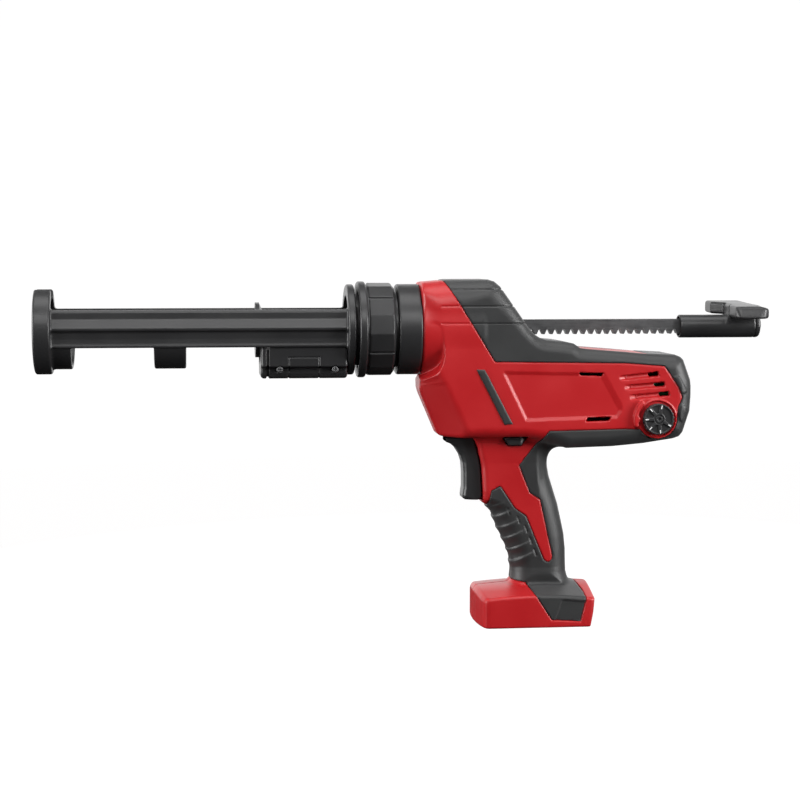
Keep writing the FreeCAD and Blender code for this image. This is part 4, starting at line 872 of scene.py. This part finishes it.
# Half of the rail's section: out from the axis, up from it
RAIL_SECTION = [
    (17.7, 16.1), (24.9, 16.1), (26.4, 14.5), (26.7, 9.2), (27.2, 8.0), (28.9, 4.0), (29.5, 2.6), (29.5, 1.4),
    (29.1, 0.5), (27.9, 0.0), (27.3, -1.0), (27.0, -5.5), (27.2, -9.0), (27.8, -11.6), (27.4, -12.1),
    (17.7, -12.1),
]
PLATE_RADIUS, PLATE_LENGTH, PLATE_EDGE, PLATE_WALL = 33.0, 13.0, 1.8, 4.0
HOLLOW_RADIUS, HOLLOW_REAR_X = 25.9, -140.0
FRONT_STRAP_START, FRONT_STRAP_REAR_X, MIDDLE_STRAP_X = 12, -351.0, (-290.0, -266.0)
STRAP_RADIUS, STRAP_EDGE, STRAP_TOP = 29.2, 1.4, 10.0
RING_FRONT, RING_REAR, RING_EDGE = -144.4, -138.6, 1.4
TAIL_RADIUS = 27.3
LUG_RADIUS, LUG_X, LUG_HALF_TURN = 30.1, (3.0, 6.6), 17.0
FRAME_SOFT = 2.4
KEY_HALF, KEY_TOP, KEY_X = 2.0, 27.6, (-280.0, -276.0)
NOTCH_HALF, NOTCH_LENGTH = 10.5, 20.0
OPEN_TOP_HALF = 17.5
THROUGH_RADIUS = 22.6
CASE_ROOM, CASE_TOP_ROOM = 0.3, 0.05


def carriage_form(g, low, high):
    """Front plate, rails, under-straps and rear ring with its bayonet lugs, open on top."""
    front, rear = low[0], high[0]
    across = np.abs(g.y)
    away = round_x(g)
    up = g.z - AXIS_Z
    plate = rounded(away - PLATE_RADIUS, between(g.x, front, front + PLATE_LENGTH), PLATE_EDGE)
    rails = common(polygon(RAIL_SECTION, across, up), between(g.x, front + PLATE_WALL, RING_REAR))
    hollow = common(away - HOLLOW_RADIUS, between(g.x, front + PLATE_WALL, HOLLOW_REAR_X))
    front_strap = between(g.x, front + FRONT_STRAP_START, FRONT_STRAP_REAR_X)
    straps = union(front_strap, between(g.x, *MIDDLE_STRAP_X))
    under = common(rounded(away - STRAP_RADIUS, straps, STRAP_EDGE), up + STRAP_TOP)
    ring = rounded(away - high[2] + AXIS_Z, between(g.x, RING_FRONT, RING_REAR), RING_EDGE)
    tail = common(away - TAIL_RADIUS, between(g.x, HOLLOW_REAR_X, rear))
    lugs_x = between(g.x, COLLAR_LOW[0] + LUG_X[0], COLLAR_LOW[0] + LUG_X[1])
    in_lug = np.abs(in_turn(ring_angle(g), LUG_TURN, 2 * FULL_TURN + LUG_TURN / 2)) - LUG_HALF_TURN
    lugs = common(away - LUG_RADIUS, lugs_x, in_lug * LUG_ARC)
    form = join(union(plate, ring, tail, lugs), union(rails, under), FRAME_SOFT)
    key = common(across - KEY_HALF, up + KEY_TOP, between(g.x, *KEY_X))
    notch = common(across - NOTCH_HALF, -up, g.x - front - NOTCH_LENGTH)
    open_top = common(across - OPEN_TOP_HALF, -up, between(g.x, front + PLATE_LENGTH, RING_FRONT))
    through = common(away - THROUGH_RADIUS, front + PLATE_WALL - g.x)
    case = common(across - CASE_HIGH[1] - CASE_ROOM, up - CASE_HIGH[2] + AXIS_Z - CASE_TOP_ROOM)
    case = common(case, between(g.x, CASE_LOW[0] - CASE_ROOM, RING_FRONT))
    return cut(form, key, hollow, notch, open_top, through, case)


# Half of the puncture case's section: in from its side, up from its floor
CASE_SECTION = [(0.0, 9.4), (4.4, 7.8), (5.0, 4.0), (6.2, 1.4), (8.4, 0.0)]
CASE_EDGE, CASE_BORE = 2.6, 26.2
PANEL_X, PANEL_TOP_Z, PANEL_LINE = (-189.1, -166.1), 208.1, (0.45, 0.8, 0.3)
JOINT_SETBACK, JOINT_LINE = 5.2, (1.1, 1.5, 0.5)
POCKET_X, POCKET_Y, POCKET_BELOW, POCKET_DEPTH = (-204.0, -144.0), (-5.6, 5.6), 5, 9.0
CASE_SCREW_WELL, CASE_SCREW_SEAT = 2.9, 16.0


def case_form(g, low, high):
    """Case of the seal-puncture pin, with its panel lines, pocket and screw wells."""
    half = high[1]
    right = [(half - inward, low[2] + up) for inward, up in CASE_SECTION]
    left = [(-half + inward, low[2] + up) for inward, up in CASE_SECTION[::-1]]
    section = [(-half, high[2]), (half, high[2])] + right + left
    form = rounded(polygon(section, g.y, g.z), between(g.x, low[0], high[0]), CASE_EDGE)
    form = cut(form, round_x(g) - CASE_BORE)
    panel = common(between(g.x, *PANEL_X), g.z - PANEL_TOP_Z)
    skin = form + line_depth(panel, *PANEL_LINE)
    skin = skin + line_depth(g.x - low[0] - JOINT_SETBACK, *JOINT_LINE)
    pocket = block(g, POCKET_X, POCKET_Y, (low[2] - POCKET_BELOW, low[2] + POCKET_DEPTH))
    skin = cut(skin, pocket)
    for x, z in CASE_SCREWS:
        skin = cut(skin, common(round_y(g, x, z) - CASE_SCREW_WELL, CASE_SCREW_SEAT - np.abs(g.y)))
    return skin


FAR = 9.0
HEAD_RADIUS, HEAD_LENGTH, HEAD_BOW, HEAD_EDGE = 2.5, 2.2, 0.045, 0.35
CROSS_HALF, CROSS_REACH, CROSS_DEPTH = 0.42, 1.6, 1.0
SHANK_RADIUS, SHANK_START = 1.4, 1.6


def case_screws_form(g, low, high):
    """Pan heads with a cross recess in the dark strip of the puncture case."""
    form = np.full(np.broadcast_shapes(g.x.shape, g.y.shape, g.z.shape), FAR, np.float32)
    for x, z in CASE_SCREWS:
        off_x, off_z = np.abs(g.x - x), np.abs(g.z - z)
        away = round_y(g, x, z)
        crown = low[1] + HEAD_BOW * away ** 2
        head = rounded(away - HEAD_RADIUS, common(crown - g.y, g.y - low[1] - HEAD_LENGTH), HEAD_EDGE)
        arms = union(common(off_x - CROSS_HALF, off_z - CROSS_REACH),
                     common(off_z - CROSS_HALF, off_x - CROSS_REACH))
        head = cut(head, common(arms, g.y - low[1] - CROSS_DEPTH))
        shank = common(away - SHANK_RADIUS, between(g.y, low[1] + SHANK_START, high[1]))
        form = union(form, head, shank)
    return form


# Rod handle, trigger, lock button and dial

HANDLE_RADIUS, HANDLE_EDGE, HANDLE_END_EDGE = 9.0, 0.8, 3.4
BAND_SETBACK, BAND_LINE = 5.2, (0.4, 0.5, 0.25)
WING_FRONTS, WING_REARS = {-1: 28.4, 1: 34.6}, {-1: 0.2, 1: 0.8}
WAIST = [(25.1, 7.0), (26.7, 9.6)]
SHOULDER_Y, WING_FRONT_Y = 13.0, 17.0
WING_FRONT_CORNER = (3.2, 4.0)
WING_REAR_CORNER = [(9.5, 0.0), (5.2, 1.2), (2.0, 4.4), (0.4, 9.0), (0.0, 15.0)]
WING_TILT, WING_DROP, WING_HEIGHT, WING_EDGE = 0.055, 1.9, 9.4, 2.0
REAR_FALL, REAR_FALL_X = 1.6, (12.0, 2.0)
TIP_LEAN, TIP_START, TIP_SCALE, TIP_SOFT = 0.45, 2.0, 1.1, 2.4
POST_X, POST_HALF, POST_DROP, POST_EDGE = (26.5, 3.0), 6.4, 4, 1.0
POST_SOFT, WING_SOFT = 4.0, 3.0
HANDLE_BORE, HANDLE_BORE_LENGTH = 7.5, 58.0
CROSS_PIN, CROSS_PIN_RADIUS, CROSS_PIN_SEAT = 27.0, 2.1, -8.2


def wing_outline(end, reach):
    """Bar seen from above; its far wing reaches further forward than the near one."""
    plan = []
    for side in (-1, 1):
        front, rear = end - WING_FRONTS[side], end - WING_REARS[side]
        half = [(end - setback, y) for setback, y in WAIST]
        half += [(0.5 * (front + end - WAIST[1][0]), SHOULDER_Y), (front, WING_FRONT_Y)]
        half += [(front, reach - WING_FRONT_CORNER[1]), (front + WING_FRONT_CORNER[0], reach)]
        half += [(rear - setback, reach - inward) for setback, inward in WING_REAR_CORNER]
        half = [(x, side * y) for x, y in half]
        plan += half if side > 0 else half[::-1]
    return plan


def handle_form(g, low, high):
    """Sleeve on the rack and a bar across it that sits a little askew, its near wing lower."""
    middle = low[2] + HANDLE_RADIUS
    end, reach = high[0], high[1]
    across = np.abs(g.y)
    away = round_x(g, middle)
    sleeve = rounded(away - HANDLE_RADIUS, between(g.x, low[0], end), HANDLE_EDGE)
    sleeve = rounded(sleeve, g.x - end, HANDLE_END_EDGE)
    sleeve = sleeve + line_depth(g.x - end + BAND_SETBACK, *BAND_LINE)
    z = g.z - WING_TILT * g.y
    top = high[2] - WING_DROP
    under = top - WING_HEIGHT
    rear_fall = REAR_FALL * ramp(g.x, end - REAR_FALL_X[0], end - REAR_FALL_X[1]) ** 2
    plan = polygon(wing_outline(end, reach), g.x, g.y)
    wings = rounded(plan, common(z - top + rear_fall, under - z), WING_EDGE)
    tips = (across - reach + TIP_LEAN * (z - under - TIP_START)) / TIP_SCALE
    wings = meet(wings, tips, TIP_SOFT)
    post = common(between(g.x, end - POST_X[0], end - POST_X[1]), across - POST_HALF)
    post = rounded(post, between(g.z, middle, high[2] - POST_DROP), POST_EDGE)
    form = join(join(sleeve, post, POST_SOFT), wings, WING_SOFT)
    bore = common(away - HANDLE_BORE, g.x - low[0] - HANDLE_BORE_LENGTH)
    pin = np.sqrt((g.x - end + CROSS_PIN) ** 2 + (g.z - middle) ** 2) - CROSS_PIN_RADIUS
    return cut(form, bore, common(pin, CROSS_PIN_SEAT - g.y), high[2] - g.z)


TRIGGER_OUTLINE = [
    (-67.9, 145.0), (-68.3, 142.8), (-67.2, 141.0), (-63.6, 139.6), (-59.4, 136.0), (-56.0, 130.6),
    (-54.2, 125.0), (-53.6, 118.0), (-53.5, 106.0), (-54.4, 99.6), (-54.2, 97.4), (-52.4, 96.1),
    (-42.8, 95.9), (-40.4, 96.6), (-39.6, 99.4), (-40.8, 121.9), (-43.8, 136.4), (-46.4, 145.2),
]
TRIGGER_HALF, TRIGGER_MARGIN = 11.0, 0.6
TRIGGER_EDGE_X, TRIGGER_EDGES = (-54.0, -46.0), (4.2, 1.2)
TRIGGER_ROOT_Z, TRIGGER_ROOT_SHARE = (136, 143), (1.0, 0.5)


def build_trigger():
    low, high = span("trigger")
    lowest = min(point[1] for point in TRIGGER_OUTLINE)
    g = Grid((low[0] - TRIGGER_MARGIN, low[1], lowest), high, FINE_STEP)
    side = polygon(TRIGGER_OUTLINE, g.x, g.z)
    edge = ramp(g.x, *TRIGGER_EDGE_X, *TRIGGER_EDGES) * ramp(g.z, *TRIGGER_ROOT_Z, *TRIGGER_ROOT_SHARE)
    form = rounded(side, np.abs(g.y) - TRIGGER_HALF, edge)
    moulded_piece("trigger_blade", form, g, "trigger", "black_plastic", ["trigger"], share=0.5)


BUTTON_STEP = 0.35
BUTTON_TAPER, BUTTON_TAPER_SHARE, BUTTON_EDGE = 4.6, 0.6, 1.2
LEDGE_DROP, LEDGE_LINE = 1.6, (0.3, 0.6, 0.25)
FOLD_SETBACK, FOLD_NORMAL, FOLD_SOFT = 5.2, (0.5, 0.87), 0.5


def button_outline(margin):
    """Trapezium of the lock button seen from the side."""
    low, high = BUTTON_LOW, BUTTON_HIGH
    widened = margin * BUTTON_TAPER_SHARE
    return [
        (low[0] - margin, high[2] + margin), (high[0] + margin, high[2] + margin),
        (high[0] - BUTTON_TAPER + widened, low[2] - margin),
        (low[0] + BUTTON_TAPER - widened, low[2] - margin),
    ]


def button_form(g, low, high):
    side = polygon(button_outline(0.0), g.x, g.z)
    across = np.abs(g.y) - high[1]
    form = rounded(side, across, BUTTON_EDGE)
    form = form + line_depth(g.z - high[2] + LEDGE_DROP, *LEDGE_LINE)
    fold = (g.x - high[0] + FOLD_SETBACK) * FOLD_NORMAL[0] + across * FOLD_NORMAL[1]
    return meet(form, fold, FOLD_SOFT)


DIAL_MARK_ANGLES = (79.0, 131.0, 180.0, 226.0, 276.0, 330.0)
DIAL_RADIUS, DIAL_ROOM, DIAL_EDGE = 12.2, 0.1, 1.0
DIAL_FACE, DIAL_BACK, DIAL_GRID_REAR = -39.6, -34.8, -33.0
SPOKE_HALF, SPOKE_RING, SPOKE_FLOOR = 1.1, (4.6, 10.6), 38.5
HUB_RING, HUB_HOLE, HUB_FLOOR = (2.9, 3.5), 1.3, 38.7
KNURL_TURN, KNURL_DEPTH, KNURL_SLOPE, KNURL_RADIUS, KNURL_REAR = 15, 0.55, 0.2, 11.5, 36.5
DIAL_SHAFT, DIAL_SHAFT_Y = 3.0, (-35.2, -33.4)
MARK_HALF, MARK_RING, MARK_PROUD, MARK_DEPTH = 0.5, (8.0, 11.0), 0.05, 0.5
DIAL_SCALE = (-24.0, 68.0)
SCALE_RADIUS, SCALE_THIN, SCALE_SWELL, SCALE_END_SCALE = 10.9, 0.8, 1.9, 12.0
SCALE_Y, SCALE_SPOKE_ROOM = (-38.56, -38.3), 0.9


def build_dial():
    """Knob with raised spokes and a knurled rim, its printed marks and its scale."""
    g = Grid(DIAL_LOW, (DIAL_HIGH[0], DIAL_GRID_REAR, DIAL_HIGH[2]), SMALL_STEP)
    away = round_y(g, DIAL_X, DIAL_Z)
    angle = np.degrees(np.arctan2(g.z - DIAL_Z, g.x - DIAL_X))
    knob = rounded(away - DIAL_RADIUS + DIAL_ROOM, between(g.y, DIAL_FACE, DIAL_BACK), DIAL_EDGE)
    spokes = np.full_like(away, FAR)
    for mark in DIAL_MARK_ANGLES:
        turn = np.radians(angle - mark)
        spokes = union(spokes, np.where(np.cos(turn) > 0, np.abs(np.sin(turn)) * away, FAR))
    well = common(between(away, *SPOKE_RING), SPOKE_HALF - spokes, g.y + SPOKE_FLOOR)
    rings = common(union(between(away, *HUB_RING), away - HUB_HOLE), g.y + HUB_FLOOR)
    in_knurl = np.abs(in_turn(angle, KNURL_TURN))
    rim = common(KNURL_DEPTH - in_knurl * KNURL_SLOPE, KNURL_RADIUS - away, g.y + KNURL_REAR)
    shaft = common(away - DIAL_SHAFT, between(g.y, *DIAL_SHAFT_Y))
    form = union(cut(knob, well, rings, rim), shaft)
    moulded_piece("dial_knob", form, g, "speed_dial", "black_plastic", ["speed_dial"], share=0.6)
    bars = common(spokes - MARK_HALF, between(away, *MARK_RING))
    marks = common(bars, between(g.y, DIAL_FACE - MARK_PROUD, DIAL_FACE + MARK_DEPTH))
    moulded_piece("dial_marks", marks, g, "speed_dial", PRINT, share=0.8)
    sweep = (angle - DIAL_SCALE[0]) / (DIAL_SCALE[1] - DIAL_SCALE[0])
    width = SCALE_THIN + SCALE_SWELL * np.clip(sweep, 0, 1)
    ends = (np.abs(sweep - 0.5) - 0.5) * SCALE_END_SCALE
    wedge = common(between(away, SCALE_RADIUS - width, SCALE_RADIUS), ends, between(g.y, *SCALE_Y))
    wedge = common(wedge, SCALE_SPOKE_ROOM - spokes)
    moulded_piece("dial_scale", wedge, g, "speed_dial", SCALE_PRINT, share=0.8)


# Stage, in metres

# Lamps: place, target, size, power
LAMPS = {
    "top_box": ((-0.1, -0.15, 1.4), (-0.1, 0.0, 0.2), (1.5, 0.7), 9.0),
    "front_box": ((-0.1, -1.3, 1.15), (-0.1, 0.0, 0.2), (1.4, 0.6), 11.0),
    "left_box": ((-1.3, -0.15, 0.35), (-0.1, 0.0, 0.15), (0.9, 0.8), 18.0),
    "right_box": ((1.1, -0.6, 0.45), (0.05, 0.0, 0.15), (0.6, 0.8), 19.0),
    "back_wall": ((0.0, 1.3, 0.45), (0.0, 0.0, 0.2), (2.8, 1.2), 13.0),
}
WORLD_FALL, WORLD_STRENGTH = (-0.15, 0.35), (0.02, 0.26)

# Profile of the floor and the backdrop: distance out, height
FLOOR_PROFILE = [
    (1.2, 0.0), (3.2, 0.0), (4.2, 0.12), (5.0, 0.6), (5.6, 1.6), (5.6, 3.2), (4.6, 5.0), (2.4, 6.0),
]
FLOOR_TURNS = 48
FLOOR_DARK, FLOOR_LIGHT, FLOOR_GLOW = (0.055,) * 3, (0.065,) * 3, (1.0, 0.995, 0.995, 1.0)
FLOOR_CLOUD, FLOOR_ROUGHNESS = 3.0, 0.95


def add_light(name, place, target, size, power):
    data = bpy.data.lights.new(name, "AREA")
    data.shape = "RECTANGLE"
    data.size, data.size_y = size
    data.energy = power
    lamp = scene_object(name, data)
    lamp.location = place
    lamp.rotation_euler = (Vector(target) - Vector(place)).to_track_quat("-Z", "Y").to_euler()
    lamp.visible_camera = False


def light_world(tree):
    """Soft light from all round, falling off below the horizon."""
    place = tree.nodes.new("ShaderNodeTexCoord").outputs["Generated"]
    parts = tree.nodes.new("ShaderNodeSeparateXYZ")
    tree.links.new(place, parts.inputs["Vector"])
    fall = map_range(tree, parts.outputs["Z"], WORLD_FALL, WORLD_STRENGTH)
    shade = tree.nodes["Background"]
    fill(shade, {"Color": (1.0, 1.0, 1.0, 1.0)})
    tree.links.new(fall, shade.inputs["Strength"])


def floor_mesh():
    points = []
    for distance, height in FLOOR_PROFILE:
        for step in range(FLOOR_TURNS):
            angle = math.tau * step / FLOOR_TURNS
            points.append((distance * math.cos(angle), distance * math.sin(angle), height))
    centre = len(points)
    points.append((0.0, 0.0, 0.0))
    faces = [(centre, step, (step + 1) % FLOOR_TURNS) for step in range(FLOOR_TURNS)]
    for row in range(len(FLOOR_PROFILE) - 1):
        for step in range(FLOOR_TURNS):
            a, b = row * FLOOR_TURNS + step, row * FLOOR_TURNS + (step + 1) % FLOOR_TURNS
            faces.append((a, b, b + FLOOR_TURNS, a + FLOOR_TURNS))
    mesh = bpy.data.meshes.new("floor")
    mesh.from_pydata(points, [], faces)
    mesh.shade_smooth()
    return mesh


def build_stage():
    """Pale floor and backdrop that glow for the camera and light nothing."""
    mesh = floor_mesh()
    material, tree, shader, place = new_material("floor")
    cloud = noise(tree, place, FLOOR_CLOUD, 2.0)
    tree.links.new(tint(tree, cloud, FLOOR_DARK, FLOOR_LIGHT), shader.inputs["Base Color"])
    fill(shader, {"Roughness": FLOOR_ROUGHNESS, "Specular IOR Level": 0.0})
    fill(shader, {"Emission Color": FLOOR_GLOW, "Emission Strength": 1.0})
    mesh.materials.append(material)
    floor = scene_object("floor", mesh)
    for ray in ("diffuse", "glossy", "transmission", "shadow"):
        setattr(floor, "visible_" + ray, False)
    world = bpy.data.worlds.new("studio")
    bpy.context.scene.world = world
    world.use_nodes = True
    light_world(world.node_tree)
    for name, lamp in LAMPS.items():
        add_light(name, *lamp)


CAMERA_PLACE = (-0.2602, -1.3957, 0.2828)
CAMERA_YAW = 6.46
CAMERA_PITCH = -4.46
FOCAL_PIXELS = 1821.8
FRAME_PIXELS = 800
SENSOR_WIDTH = 36.0


def build_camera():
    data = bpy.data.cameras.new("camera")
    data.sensor_width = SENSOR_WIDTH
    data.lens = data.sensor_width * FOCAL_PIXELS / FRAME_PIXELS
    camera = scene_object("camera", data)
    camera.location = CAMERA_PLACE
    camera.rotation_euler = (math.radians(90 + CAMERA_PITCH), 0, math.radians(-CAMERA_YAW))
    bpy.context.scene.camera = camera
    bpy.context.scene.view_settings.view_transform = "Standard"


dress_nodes()
build_housing()
build_piece("nose_band", nose_form, "nose_ring", "housing")
build_piece("collar_grip", collar_form, "locking_collar", "collar")
build_piece("carriage_frame", carriage_form, "carriage", "housing", step=BODY_STEP)
build_piece("puncture_case", case_form, "puncture_housing", "housing", share=0.5)
build_piece("case_screws", case_screws_form, "puncture_screws", "housing", "rack_steel", SMALL_STEP, 0.6)
build_piece("rod_grip", handle_form, "rod_handle", "rod", share=0.6)
build_trigger()
build_piece("lock_off_button", button_form, "lock_button", "lock_button", step=BUTTON_STEP, share=0.5)
build_dial()
build_stage()
build_camera()
